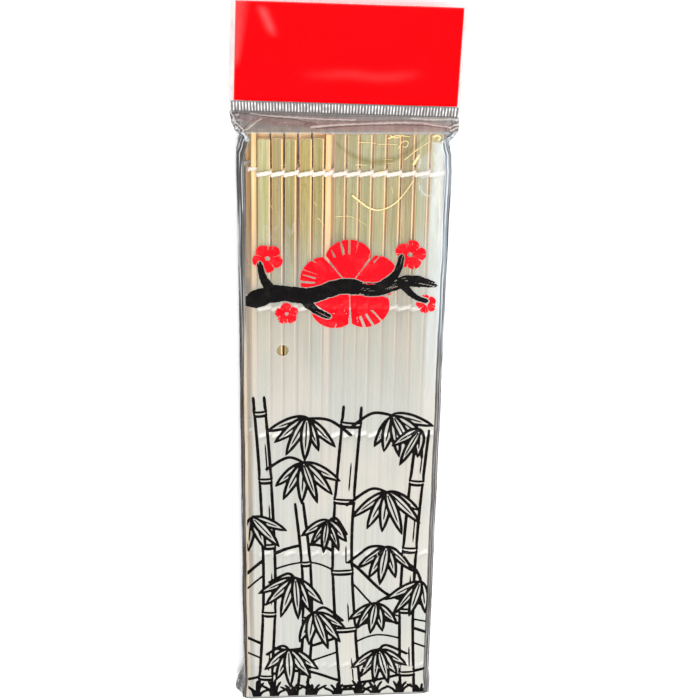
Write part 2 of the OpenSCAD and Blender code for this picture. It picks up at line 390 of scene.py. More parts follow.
class Slat:
    """One slat. It starts at o = (x, z), runs along u, and its outer, green side looks along n."""

    def __init__(self, node, body, o, u, n, w, t, y0, y1, skin, pith, bevel=0.5):
        self.node, self.body, self.o, self.u, self.n = node, body, o, u, n
        self.w, self.t, self.y0, self.y1 = w, t, y0, y1
        self.skin, self.pith, self.bevel = skin, pith, bevel

    def at(self, a, b, y):
        return (self.o[0] + self.u[0] * a + self.n[0] * b, y, self.o[1] + self.u[1] * a + self.n[1] * b)

    def local(self, x, z):
        dx, dz = x - self.o[0], z - self.o[1]
        return dx * self.u[0] + dz * self.u[1], dx * self.n[0] + dz * self.n[1]


slats = []
for i in range(14):
    tone = mix(mix(PALE, TAN, 0.5 + 0.5 * math.sin(i * 2.3)), OLIVE, 0.4 + 0.3 * math.sin(i * 4.1))
    if i == 0:
        tone = srgb(255, 208, 156)
    slats.append(Slat(f"slat_{i + 1:02d}", "root", (LEFT + i * (LOW_W + GAP), Z1), (1, 0), (0, 1), LOW_W, T,
                      -HALF + wobble(i), HALF + wobble(i + 5), tone, mix(CREAM, PEACH, rng.random())))
slats.append(Slat("fold_slat_right", "right_fold", (FOLD_R + T, Z1 + T + GAP / 2), (0, 1), (-1, 0), FOLD_H, T, -HALF, HALF, mix(PALE, TAN, 0.4), CREAM))
# the middle layer's inner wood is painted paler than the front layer's, to lift it out of the shade between the layers
for i in range(13):
    tone = mix(mix(PALE, OLIVE, 0.5 + 0.5 * math.sin(i * 1.7)), TAN, 0.4 + 0.3 * math.sin(i * 3.1))
    slats.append(Slat(f"slat_{i + 16:02d}", "middle_layer", (FOLD_R - GAP / 2 - i * (MID_W + GAP), Z2 + T), (-1, 0), (0, -1), MID_W, T,
                      -HALF + wobble(i + 9), HALF + wobble(i + 3), tone, mix(srgb(255, 236, 194), srgb(252, 214, 164), rng.random())))
slats.append(Slat("fold_slat_left", "left_fold", (FOLD_L, Z2 + T + GAP / 2), (0, 1), (-1, 0), FOLD_H, T, -HALF + 0.3, HALF + 0.2, mix(PALE, GOLD, 0.5), CREAM))
front_tones = [mix(PALE, CREAM, 0.08), mix(TAN, PALE, 0.15), OLIVE, GOLD, mix(OLIVE, GOLD, 0.5), CREAM, mix(OLIVE, TAN, 0.3), mix(OLIVE, PALE, 0.35),
               mix(PALE, OLIVE, 0.4), mix(PALE, TAN, 0.35), mix(PALE, TAN, 0.5), mix(TAN, OLIVE, 0.3), mix(PALE, OLIVE, 0.25), mix(PALE, CREAM, 0.2)]
for i in range(14):
    name = "slat_35_on_edge" if i == 5 else f"slat_{i + 30}"
    low = -HALF + (-1.2 + 1.8 * i / 13) + 0.6 * wobble(i + 2)
    if i == 5:
        slats.append(Slat(name, name, (FX[i], Z3 - 1.3), (1, 0), (0, 1), FW[i], T + 1.3, -HALF, HALF - 0.2, PEACH, PEACH, 0.35))
    else:
        slats.append(Slat(name, name, (FX[i], Z3), (1, 0), (0, 1), FW[i], T, low, HALF - BACK[i], front_tones[i], mix(CREAM, PEACH, rng.random() * 0.7)))


def build_slat(s, seed):
    r = random.Random(seed)
    w, t, bl, br = s.w, s.t, 0.16, s.bevel
    # profile, anticlockwise from the lower left, with the zone of the face that follows each point
    pts = [(0.22, 0.0, 1), (w * 0.35, 0.0, 1), (w * 0.68, 0.0, 1), (w - 0.22, 0.0, 1), (w, 0.22, 1), (w, t * 0.5, 1), (w, t - 0.42, 1), (w - 0.07, t - 0.25, 1)]
    top = 6
    for k in range(top + 1):
        a = w - br - (w - br - bl) * k / top
        c = (a - w / 2) / (w / 2)
        pts.append((a, t - 0.02 - 0.12 * c * c, 0 if k < top else 1))
    pts += [(0.0, t - 0.32, 1), (0.0, t * 0.5, 1), (0.0, 0.22, 1)]
    if s.node == "slat_35_on_edge":
        pts = [(a, b, 1) for a, b, _ in pts]
    n = len(pts)
    length = s.y1 - s.y0
    ys = [s.y0, s.y0 + 0.35]
    steps = 52
    ys += [s.y0 + 1.2 + (length - 2.4) * k / steps for k in range(steps + 1)]
    ys += [s.y1 - 0.35, s.y1]
    knot = s.y0 + length * r.uniform(0.15, 0.85) if r.random() < 0.4 else None
    verts, faces, which, shades = [], [], [], []
    for j, y in enumerate(ys):
        end = 0.12 if j in (0, len(ys) - 1) else 0.0
        thin = 0.05 + 0.05 * noise.noise(Vector((seed * 3.7, y * 0.05, 1.0)))
        shave_r = 0.05 + 0.06 * noise.noise(Vector((seed * 1.3, y * 0.09, 5.0)))
        shave_l = 0.05 + 0.06 * noise.noise(Vector((seed * 2.1, y * 0.09, 9.0)))
        for a, b, _ in pts:
            f = a / w
            aa = a + shave_l * (1 - f) - shave_r * f
            bb = b - thin * (b / t)
            if knot is not None and b > t * 0.7:
                bb += 0.05 * bump(y, knot, 0.8) - 0.05 * bump(y, knot + 1.6, 0.9)
            aa = aa + (w / 2 - aa) * end
            bb = bb + (t / 2 - bb) * end
            yy = y
            if j in (0, len(ys) - 1):
                yy += 0.16 * noise.noise(Vector((seed + a * 1.9, b * 1.7, j))) - 0.1 * (1 if j else -1)
            verts.append(s.at(aa, bb, yy))
    flip = s.u[0] * s.n[1] - s.u[1] * s.n[0] < 0
    for j in range(len(ys) - 1):
        ym = (ys[j] + ys[j + 1]) / 2
        age = 0.93 + 0.1 * noise.noise(Vector((seed * 5.1, ym * 0.03, 2.0)))
        for k in range(n):
            a, b = j * n + k, j * n + (k + 1) % n
            f = (a, b, b + n, a + n)
            faces.append(f if flip else f[::-1])
            z = pts[k][2]
            which.append(z)
            base = s.pith if z else s.skin
            dark = 1.0
            if knot is not None and abs(ym - knot) < 1.6 and not z:
                dark = 0.86
            shades.append((base[0] * age * dark, base[1] * age * dark, base[2] * age * dark, 1))
    # closed ends: two rings drawn in to a middle line
    for j, sign in ((0, 1), (len(ys) - 1, -1)):
        mid = len(verts)
        m = [0.0, 0.0]
        for a, b, _ in pts:
            m[0] += a / n
            m[1] += b / n
        verts.append(s.at(m[0], m[1], ys[j] + sign * 0.05))
        for k in range(n):
            a, b = j * n + k, j * n + (k + 1) % n
            f = (a, b, mid) if sign < 0 else (b, a, mid)
            faces.append(f if flip else f[::-1])
            which.append(2)
            e = mix(s.pith, srgb(255, 232, 190), 0.6)
            shades.append(e)
    o = piece(s.node + "_bamboo", verts, faces, [M_SKIN, M_PITH, M_END], s.body,
              which=which, shades=shades, nodes=[s.node])
    return o


for k, s in enumerate(slats):
    build_slat(s, k + 1)

# ---------------------------------------------------------------- twine
EDGE = 0.62


def gap_after(k):
    """Where both strands of a row pass between slat k and slat k + 1, as (x, z, half of the free width)."""
    if k < 0:
        return (LEFT - EDGE, Z1 + T / 2, 0.5)
    if k >= len(slats) - 1:
        return (FX[13] + FW[13] + EDGE, Z3 + T / 2, 0.5)
    a, b = slats[k], slats[k + 1]
    if b.node == "fold_slat_right":
        return (FOLD_R - 0.12, Z1 + T + 0.05, 0.24)
    if a.node == "fold_slat_right":
        return (FOLD_R - 0.12, Z2 - 0.05, 0.24)
    if b.node == "fold_slat_left":
        return (FOLD_L + 0.12, Z2 + T + 0.05, 0.24)
    if a.node == "fold_slat_left":
        return (FOLD_L + 0.12, Z3 - 0.05, 0.24)
    if k < 14:
        x = (a.o[0] + a.w + b.o[0]) / 2
        return (x, Z1 + T / 2, (b.o[0] - a.o[0] - a.w) / 2)
    if k < 28:
        x = (a.o[0] - a.w + b.o[0]) / 2
        return (x, Z2 + T / 2, (a.o[0] - a.w - b.o[0]) / 2)
    return ((a.o[0] + a.w + b.o[0]) / 2, Z3 + T / 2, (b.o[0] - a.o[0] - a.w) / 2)


def tube(path, ra, rb, twist, verts, faces, ring=12, lobes=0.13, seed=0.0):
    """A strand along path. ra is its half width across the row, rb its half height, and twist turns its two plies."""
    path = [Vector(p) for p in path]
    n = len(path)
    first = len(verts)
    y_axis = Vector((0, 1, 0))
    run = 0.0
    for i, p in enumerate(path):
        t = (path[min(i + 1, n - 1)] - path[max(i - 1, 0)]).normalized()
        side = (y_axis - t * y_axis.dot(t)).normalized()
        up = t.cross(side)
        if i:
            run += (p - path[i - 1]).length
        for k in range(ring):
            a = 2 * math.pi * k / ring
            m = 1 + lobes * math.cos(2 * (a - twist * run)) + 0.05 * noise.noise(Vector((p.x * 2 + seed, p.y * 2 + a, p.z * 2)))
            verts.append(tuple(p + side * (math.cos(a) * ra[i] * m) + up * (math.sin(a) * rb[i] * m)))
    for i in range(n - 1):
        for k in range(ring):
            a, b = first + i * ring + k, first + i * ring + (k + 1) % ring
            faces.append((a, b, b + ring, a + ring))
    for i, flip in ((0, False), (n - 1, True)):
        mid = len(verts)
        verts.append(tuple(path[i]))
        for k in range(ring):
            a, b = first + i * ring + k, first + i * ring + (k + 1) % ring
            faces.append((b, a, mid) if not flip else (a, b, mid))


def strand_on(s, g0, g1, y, outer, verts, faces, seed):
    """Half of a twined row where it passes slat s, on its outer side or its inner side."""
    side = 1 if outer else -1
    rad = 0.60
    c = s.t / 2 + side * (s.t / 2 + 0.12 + rad)
    a0, b0 = s.local(g0[0], g0[1])
    a1, b1 = s.local(g1[0], g1[1])
    s0 = Vector((a0, b0))
    s1 = Vector((a1, b1))
    d = min(0.38, s.w * 0.16)
    f0, f1 = Vector((d, c)), Vector((s.w - d, c))
    pts, ra, rb = [], [], []
    steps = 7
    e0, e1 = min(g0[2], 0.5) * 0.95, min(g1[2], 0.5) * 0.95
    for k in range(steps):
        t = k / steps
        p = s0 * (1 - t) ** 2 + Vector((a0, c)) * 2 * t * (1 - t) + f0 * t ** 2
        pts.append(p)
        rb.append(e0 + (rad - e0) * smooth(t, 0.05, 0.55))
        ra.append(0.70 + 0.10 * t)
    for k in range(6):
        t = k / 5
        p = f0.lerp(f1, t) + Vector((0, side * 0.05 * math.sin(math.pi * t)))
        pts.append(p)
        rb.append(rad)
        ra.append(0.80 + 0.05 * math.sin(math.pi * t))
    for k in range(1, steps + 1):
        t = k / steps
        p = f1 * (1 - t) ** 2 + Vector((a1, c)) * 2 * t * (1 - t) + s1 * t ** 2
        pts.append(p)
        rb.append(rad + (e1 - rad) * smooth(t, 0.45, 0.95))
        ra.append(0.80 - 0.10 * t)
    n = len(pts)
    path = []
    lean = 0.66 if outer else -0.66
    jog = 0.14 * noise.noise(Vector((seed * 1.7, y, 3.0)))
    for k, p in enumerate(pts):
        f = k / (n - 1)
        path.append(s.at(p[0], p[1], y + jog * math.sin(math.pi * f) + lean * (2 * smooth(f, 0.12, 0.88) - 1)))
    tube(path, ra, rb, 1.5, verts, faces, seed=seed)
    return path


def hair(p, d, length, verts, faces):
    """A loose cotton fibre."""
    first = len(verts)
    side = d.cross(Vector((0.3, 0.2, 0.9))).normalized()
    up = d.cross(side)
    bend = side * rng.uniform(-0.4, 0.4) + up * rng.uniform(-0.1, 0.4)
    for i in range(4):
        f = i / 3
        q = p + d * length * f + bend * length * f * f
        rad = 0.035 * (1 - 0.7 * f)
        for k in range(3):
            a = 2 * math.pi * k / 3
            verts.append(tuple(q + side * math.cos(a) * rad + up * math.sin(a) * rad))
    for i in range(3):
        for k in range(3):
            a, b = first + i * 3 + k, first + i * 3 + (k + 1) % 3
            faces.append((a, b, b + 3, a + 3))
    faces.append((first + 2, first + 1, first))
    faces.append((first + 9, first + 10, first + 11))


def end_loop(x, z, y, out, verts, faces, seed):
    """The bend that closes a row round the edge of the mat."""
    path, ra, rb = [], [], []
    for k in range(11):
        a = math.pi * k / 10
        path.append((x + out * 0.42 * math.sin(a), y - 0.70 * math.cos(a), z + 0.25 * math.sin(2 * a)))
        ra.append(0.5)
        rb.append(0.48)
    path = [Vector(p) for p in path]
    n, first, ring = len(path), len(verts), 10
    for i, p in enumerate(path):
        t = (path[min(i + 1, n - 1)] - path[max(i - 1, 0)]).normalized()
        up = Vector((0, 0, 1))
        side = t.cross(up).normalized()
        up = side.cross(t)
        for k in range(ring):
            a = 2 * math.pi * k / ring
            m = 1 + 0.12 * math.cos(2 * (a - i * 0.5))
            verts.append(tuple(p + side * math.cos(a) * 0.48 * m + up * math.sin(a) * 0.62 * m))
    for i in range(n - 1):
        for k in range(ring):
            a, b = first + i * ring + k, first + i * ring + (k + 1) % ring
            faces.append((a, b, b + ring, a + ring))
    for i, flip in ((0, False), (n - 1, True)):
        mid = len(verts)
        verts.append(tuple(path[i]))
        for k in range(ring):
            a, b = first + i * ring + k, first + i * ring + (k + 1) % ring
            faces.append((b, a, mid) if not flip else (a, b, mid))


by_body = {}
for k, s in enumerate(slats):
    verts, faces = by_body.setdefault(s.body, ([], []))
    g0, g1 = gap_after(k - 1), gap_after(k)
    for row, y in enumerate(ROWS):
        y += 0.25 * noise.noise(Vector((k * 0.35, row * 4.4, 0.0)))
        over = strand_on(s, g0, g1, y, True, verts, faces, k * 7 + row)
        strand_on(s, g0, g1, y, False, verts, faces, k * 11 + row + 90)
        if k == 0:
            end_loop(g0[0], g0[1], y, -1, verts, faces, row)
        if k == len(slats) - 1:
            end_loop(g1[0], g1[1], y, 1, verts, faces, row)
        if k >= 28:
            for _ in range(9):
                q = Vector(rng.choice(over[4:-4]))
                d = Vector((rng.uniform(-1, 1), rng.uniform(-1, 1), rng.uniform(0.0, 0.25))).normalized()
                hair(q + Vector((0, rng.uniform(-0.6, 0.6), rng.uniform(-0.1, 0.3))), d, rng.uniform(0.7, 1.5), verts, faces)
all_rows = [f"twine_row_{k}" for k in range(1, 6)]
for body, (verts, faces) in by_body.items():
    piece("twine_on_" + ("lower_layer" if body == "root" else body), verts, faces, [M_TWINE], body, nodes=all_rows)

# ---------------------------------------------------------------- the bag
TURN = math.radians(-1.6)
WELD = 124.9


def edge_x(y, side):
    """Half width of the bag. It draws in at the upper end of the mat and widens again to the weld."""
    key = [(-124.6, 37.9), (-119, 38.0), (-112, 37.4), (-60, 37.6), (20, 37.9), (80, 38.2), (104, 38.6)]
    if side < 0:
        key += [(112, 38.3), (116, 37.2), (118.2, 36.6), (119.8, 37.6), (121.4, 39.2), (123, 40.4), (WELD, 41.0), (140, 41.1)]
    else:
        key += [(112, 38.2), (115.6, 37.2), (117.4, 36.9), (119.4, 39.2), (121.0, 40.4), (123, 40.9), (WELD, 41.1), (140, 41.1)]
    for (y0, w0), (y1, w1) in zip(key, key[1:]):
        if y <= y1:
            f = smooth(y, y0, y1)
            w = w0 + (w1 - w0) * f
            break
    else:
        w = key[-1][1]
    if y < 116:
        w += 0.22 * noise.noise(Vector((y * 0.06, side * 5.0, 0.0))) + 0.08 * noise.noise(Vector((y * 0.35, side * 5.0, 4.0)))
    return w


def strand_under(x, y):
    """1 over the middle of a twine strand of the front layer, 0 away from the rows."""
    for row, r in enumerate(ROWS):
        if abs(y - r) < 2.8:
            break
    else:
        return 0.0
    for i in range(14):
        f = (x - FX[i]) / FW[i]
        if -0.12 <= f <= 1.12:
            mid = r + 0.25 * noise.noise(Vector(((i + 29) * 0.35, row * 4.4, 0.0))) + 0.66 * (2 * smooth(f, 0.1, 0.9) - 1)
            return math.exp(-((y - mid) / 0.8) ** 2) * (1 - smooth(abs(2 * f - 1), 0.75, 1.2))
    return 0.0


def film_z(x, y):
    """Height of the front film over the mat: it rides on the twine and sags a little between the rows."""
    near = max(math.exp(-abs(y - r) / 2.4) for r in ROWS)
    z = 17.08 + 0.42 * near + 0.32 * strand_under(x, y)
    z += 0.10 * fbm(x * 0.05, y * 0.022, 3.0) + 0.03 * fbm(x * 0.25, y * 0.06, 8.0)
    return min(max(z, 16.98), 17.94)


def turned(x, y, z, f=1.0):
    """The header end sits a little askew: it is turned by TURN about the middle of the weld."""
    a = TURN * f
    dy = y - WELD
    return x * math.cos(a) - dy * math.sin(a), WELD + x * math.sin(a) + dy * math.cos(a), z


def lines(a, b, step, fine=()):
    """Grid lines from a to b, closer together inside the fine bands (low, high, step)."""
    out = [a]
    while out[-1] < b - 1e-6:
        st = step
        for lo, hi, s in fine:
            if lo <= out[-1] < hi:
                st = min(st, s)
        out.append(min(out[-1] + st, b))
    if out[-1] - out[-2] < 0.3 * step and len(out) > 2:
        out.pop(-2)
    return out


us = lines(-38.0, 38.0, 0.5, [(-38.0, -33.0, 0.16), (33.0, 38.0, 0.16)])
ys = lines(-121.4, 121.0, 1.2, [(r - 2.6, r + 2.6, 0.4) for r in ROWS] + [(VENT[1] - 3.6, VENT[1] + 3.6, 0.5), (84, 121, 0.6)])


def ink_cover(y):
    steps = [(98, 0.0), (86, 0.06), (76, 0.20), (62, 0.38), (44, 0.56), (27, 0.68), (14, 0.76), (-30, 0.83), (-110, 0.88)]
    if y >= steps[0][0]:
        return 0.0
    for (ya, ca), (yb, cb) in zip(steps, steps[1:]):
        if y >= yb:
            return ca + (cb - ca) * (ya - y) / (ya - yb)
    return steps[-1][1]


def slid(x, y):
    """The lower edge of the pack slants: it is shorter on the right."""
    return 1.9 * min(max((x + 36) / 72, 0), 1) * smooth(y, -92, -121)


def over_mat(u, x, y):
    """Height of the front film at (x, y), where u is the way across, -38 to 38."""
    side = -1 if u < 0 else 1
    z = film_z(x, y)
    over = max(abs(u) - 35.0, 0) / 3.0
    z -= 1.5 * over ** 2.4
    z += 0.35 * bump(abs(u), 35.0, 1.6) * noise.noise(Vector((y * 0.05, side * 3.0, 1.0)))
    return min(z, 17.96)


def front_point(u, y):
    """A point of the front film over the mat, from u = -38 to 38 across."""
    side = -1 if u < 0 else 1
    x = u * edge_x(y, side) / 38.0
    y2 = y + slid(x, y)
    return x, y2, over_mat(u, x, y2)


# creases of the film under the header, from u = -38 to 38 across and from 0 at the mat to 1 at the weld; each is a
# slight fold, painted as a dark line of shade or a bright glint
SHOULDER_LINES = [
    ("dark", 0.9, 0.030, [(-38, 0.93), (-30.1, 0.85), (-26.1, 0.76), (-21, 0.71), (-16.2, 0.65), (-11.8, 0.50), (-10.6, 0.36)]),
    ("light", 0.75, 0.026, [(-31, 0.90), (-27.6, 0.82), (-15.8, 0.76), (-6, 0.70), (4, 0.72)]),
    ("light", 0.8, 0.024, [(-35.4, 0.03), (-32.9, 0.20), (-28.3, 0.62), (-27.6, 0.66)]),
    ("dark", 0.6, 0.028, [(-36, 0.08), (-34.0, 0.24), (-30.2, 0.64)]),
    ("dark", 0.7, 0.040, [(-13.6, 0.42), (-11.6, 0.56), (-9.6, 0.44)]),
    ("light", 0.85, 0.042, [(-11.4, 0.30), (0.7, 0.45), (15.4, 0.57), (26, 0.62), (34.9, 0.36)]),
    ("dark", 0.85, 0.030, [(-9.9, 0.20), (1.8, 0.37), (16.5, 0.45), (27, 0.46), (34.4, 0.28)]),
    ("dark", 0.6, 0.026, [(-6, 0.64), (4, 0.62), (19.1, 0.76), (30, 0.72), (38, 0.78)]),
    ("light", 0.9, 0.034, [(22, 0.88), (29, 0.86), (38, 0.93)]),
    ("dark", 0.5, 0.024, [(-24, 0.92), (-8, 0.88), (10, 0.93), (24, 0.97)]),
    ("light", 0.45, 0.020, [(-20, 0.55), (-19.2, 0.30), (-18.8, 0.12)]),
    ("dark", 0.5, 0.020, [(-24, 0.52), (-22.6, 0.34), (-21.8, 0.08)]),
    # the crumpled right corner
    ("dark", 1.0, 0.050, [(33.2, 0.16), (34.2, 0.40), (35.8, 0.60), (38, 0.74)]),
    ("dark", 1.0, 0.045, [(33.4, 0.14), (35.6, 0.04), (38, 0.10)]),
    ("light", 1.0, 0.060, [(34.6, 0.30), (36.2, 0.48), (38, 0.60)]),
    ("dark", 0.9, 0.035, [(34.4, 0.20), (36.4, 0.34), (38, 0.46)]),
    ("light", 0.9, 0.055, [(35.0, 0.12), (36.8, 0.24), (38, 0.32)]),
    # the crumpled left corner
    ("dark", 1.0, 0.060, [(-38, 0.94), (-37.2, 0.50), (-35.4, 0.04)]),
    ("light", 1.0, 0.060, [(-37.6, 0.96), (-36.6, 0.52), (-34.8, 0.08)]),
    ("dark", 0.8, 0.050, [(-37.0, 0.90), (-35.8, 0.48), (-34.0, 0.10)]),
    ("light", 0.7, 0.045, [(-38, 0.56), (-37.0, 0.24), (-36.2, 0.02)]),
    ("dark", 0.8, 0.045, [(-38, 0.36), (-37.4, 0.14)]),
]

# painted glints: short bright lines on folds in the film over the mat, as (x, y) runs
GLINTS = [
    [(26.6, 102.0), (27.2, 99.6), (28.6, 97.8), (30.4, 97.0), (31.6, 97.4)],
    [(26.4, 105.4), (28.2, 104.0), (30.2, 105.2)],
    [(31.0, 117.0), (34.6, 116.9)],
    [(31.6, 113.4), (32.8, 109.6), (32.0, 104.8), (33.6, 100.2), (33.0, 94.0)],
    [(33.4, 113.0), (34.4, 106.6), (34.0, 98.4), (34.8, 88.0), (34.4, 76.0)],
    [(25.8, 112.6), (27.0, 110.6), (26.4, 107.8)],
    [(-28.8, 85.6), (-27.4, 83.8), (-25.4, 83.6), (-24.2, 85.0)],
    [(-28.0, 82.4), (-26.6, 81.2), (-26.9, 79.6)],
    [(-20.4, 84.6), (-19.2, 82.0), (-18.4, 83.0), (-18.0, 86.2)],
]


def glint(x, y):
    best = 0.0
    for run in GLINTS:
        for (xa, ya), (xb, yb) in zip(run, run[1:]):
            dx, dy = xb - xa, yb - ya
            if min(xa, xb) - 1 < x < max(xa, xb) + 1 and min(ya, yb) - 1 < y < max(ya, yb) + 1:
                t = min(max(((x - xa) * dx + (y - ya) * dy) / (dx * dx + dy * dy), 0), 1)
                best = max(best, bump(math.hypot(x - xa - t * dx, y - ya - t * dy), 0, 0.26))
    return best


def along_line(line, u):
    """Height of a crease at u, or None where it doesn't reach."""
    for (ua, va), (ub, vb) in zip(line, line[1:]):
        if ua <= u <= ub:
            return va + (vb - va) * (u - ua) / (ub - ua) + 0.008 * math.sin(u * 2.3) + 0.006 * math.sin(u * 5.1)
    return None


def ear(side, f):
    """How far the lower corner of a side stands out, f up the side."""
    return (3.0 if side < 0 else 0.9) * bump(f, 0.46, 0.24)


def side_lines(side, u, y):
    """Colour and cover of the strip of film beyond the ends of the slats: doubled, painted with shade and, on the
    right, a pale glare, and crossed by dark lines and painted bright glints.
    """
    way = 0.34 * noise.noise(Vector((y * 0.035, side * 2.0, 6.0))) + 0.10 * noise.noise(Vector((y * 0.16, side * 2.0, 9.0)))
    on = lambda k, lo, hi: smooth(noise.noise(Vector((y * 0.045, k, side * 5.0))), lo, hi)
    tone = 0.5 + 0.5 * noise.noise(Vector((abs(u) * 1.2, y * 0.045, side * 4.0)))
    a = abs(u)
    lower = smooth(-y, -62, -22)
    if side < 0:
        # painted shade: the left strip is dark grey; below the neck only the outer part stays dark, and the wood behind
        # tints the rest
        col, alpha = mix(srgb(54, 51, 50), srgb(104, 102, 98), tone), 0.90
        rim_ = smooth(a, 36.5 + 0.5 * way, 36.85 + 0.5 * way)
        wood = mix(mix(srgb(180, 162, 132), srgb(214, 186, 152), tone), srgb(182, 142, 94), 0.75 * smooth(-y, 94, 106) * (1 - smooth(-y, 117, 120)))
        col = mix(col, wood, lower * (1 - rim_))
        col = mix(col, srgb(52, 38, 37), 0.9 * lower * rim_)
        faint_ = 1 - 0.85 * lower
        marks = [("light", 37.15 + way, 0.13, on(1, -0.3, 0.05) * (1 - 0.75 * lower)), ("dark", 36.6 + 0.7 * way, 0.16, 0.35 + 0.65 * on(2, -0.2, 0.2)),
                 ("dark", 37.72 + 0.3 * way, 0.15, 1.0), ("light", 36.15 + 0.5 * way, 0.10, on(3, 0.0, 0.3) * faint_), ("dark", 35.75 + 0.3 * way, 0.12, on(4, -0.1, 0.2) * faint_)]
    else:
        # the right strip is painted pale blue grey for reflected glare near the upper end, greyer down the mat, and
        # dark with painted shade over its lower part
        deep = smooth(-y, -70, 30)
        col, alpha = mix(mix(srgb(190, 202, 210), srgb(132, 138, 142), deep), mix(srgb(128, 136, 144), srgb(88, 88, 86), deep), tone), 0.74 + 0.14 * deep
        col = mix(col, mix(srgb(66, 58, 54), srgb(134, 127, 121), min(max(tone + 0.9 * fbm(a * 2.2, y * 0.09, 47.0), 0), 1)), 0.95 * lower)
        alpha += (0.92 - alpha) * lower
        marks = [("dark", 36.05 + 0.7 * way, 0.17, 0.3 + 0.7 * on(1, -0.3, 0.05)), ("light", 36.75 + way, 0.22, on(2, -0.4, 0.0) * (1 - 0.9 * lower)),
                 ("dark", 37.1 + 0.6 * way, 0.17, 0.35 + 0.65 * on(3, -0.2, 0.2)), ("light", 37.5 + 0.2 * way, 0.13, lower * (0.4 + 0.6 * on(5, -0.3, 0.1))),
                 ("dark", 37.82, 0.12, 1.0), ("light", 35.6 + 0.4 * way, 0.14, on(4, -0.2, 0.2) * (1 - lower))]
    # the dark lines and the painted bright glints along the folds
    for kind, c, w, f in marks:
        m = bump(a, c, w) * f
        col = mix(col, srgb(24, 22, 25) if kind == "dark" else srgb(226, 231, 234), m)
        alpha += (0.95 - alpha) * m
    return col, alpha


rows_of = []
CLEAR = srgb(206, 210, 212)
# the steep film under the header is painted this grey for the dark it reflects and the shade seen through it
SLOPE_SHADE_GREY = srgb(138, 139, 135)
BLUE = srgb(232, 243, 248)
# the lower end wall, from the table up
for k in range(30):
    f = k / 29
    rows_of.append(("wall", f))
for y in ys:
    rows_of.append(("top", y))
for k in range(1, 49):
    rows_of.append(("shoulder", k / 48))
SEAMS = [(FX[i] + FW[i] + FX[i + 1]) / 2 for i in range(13)]
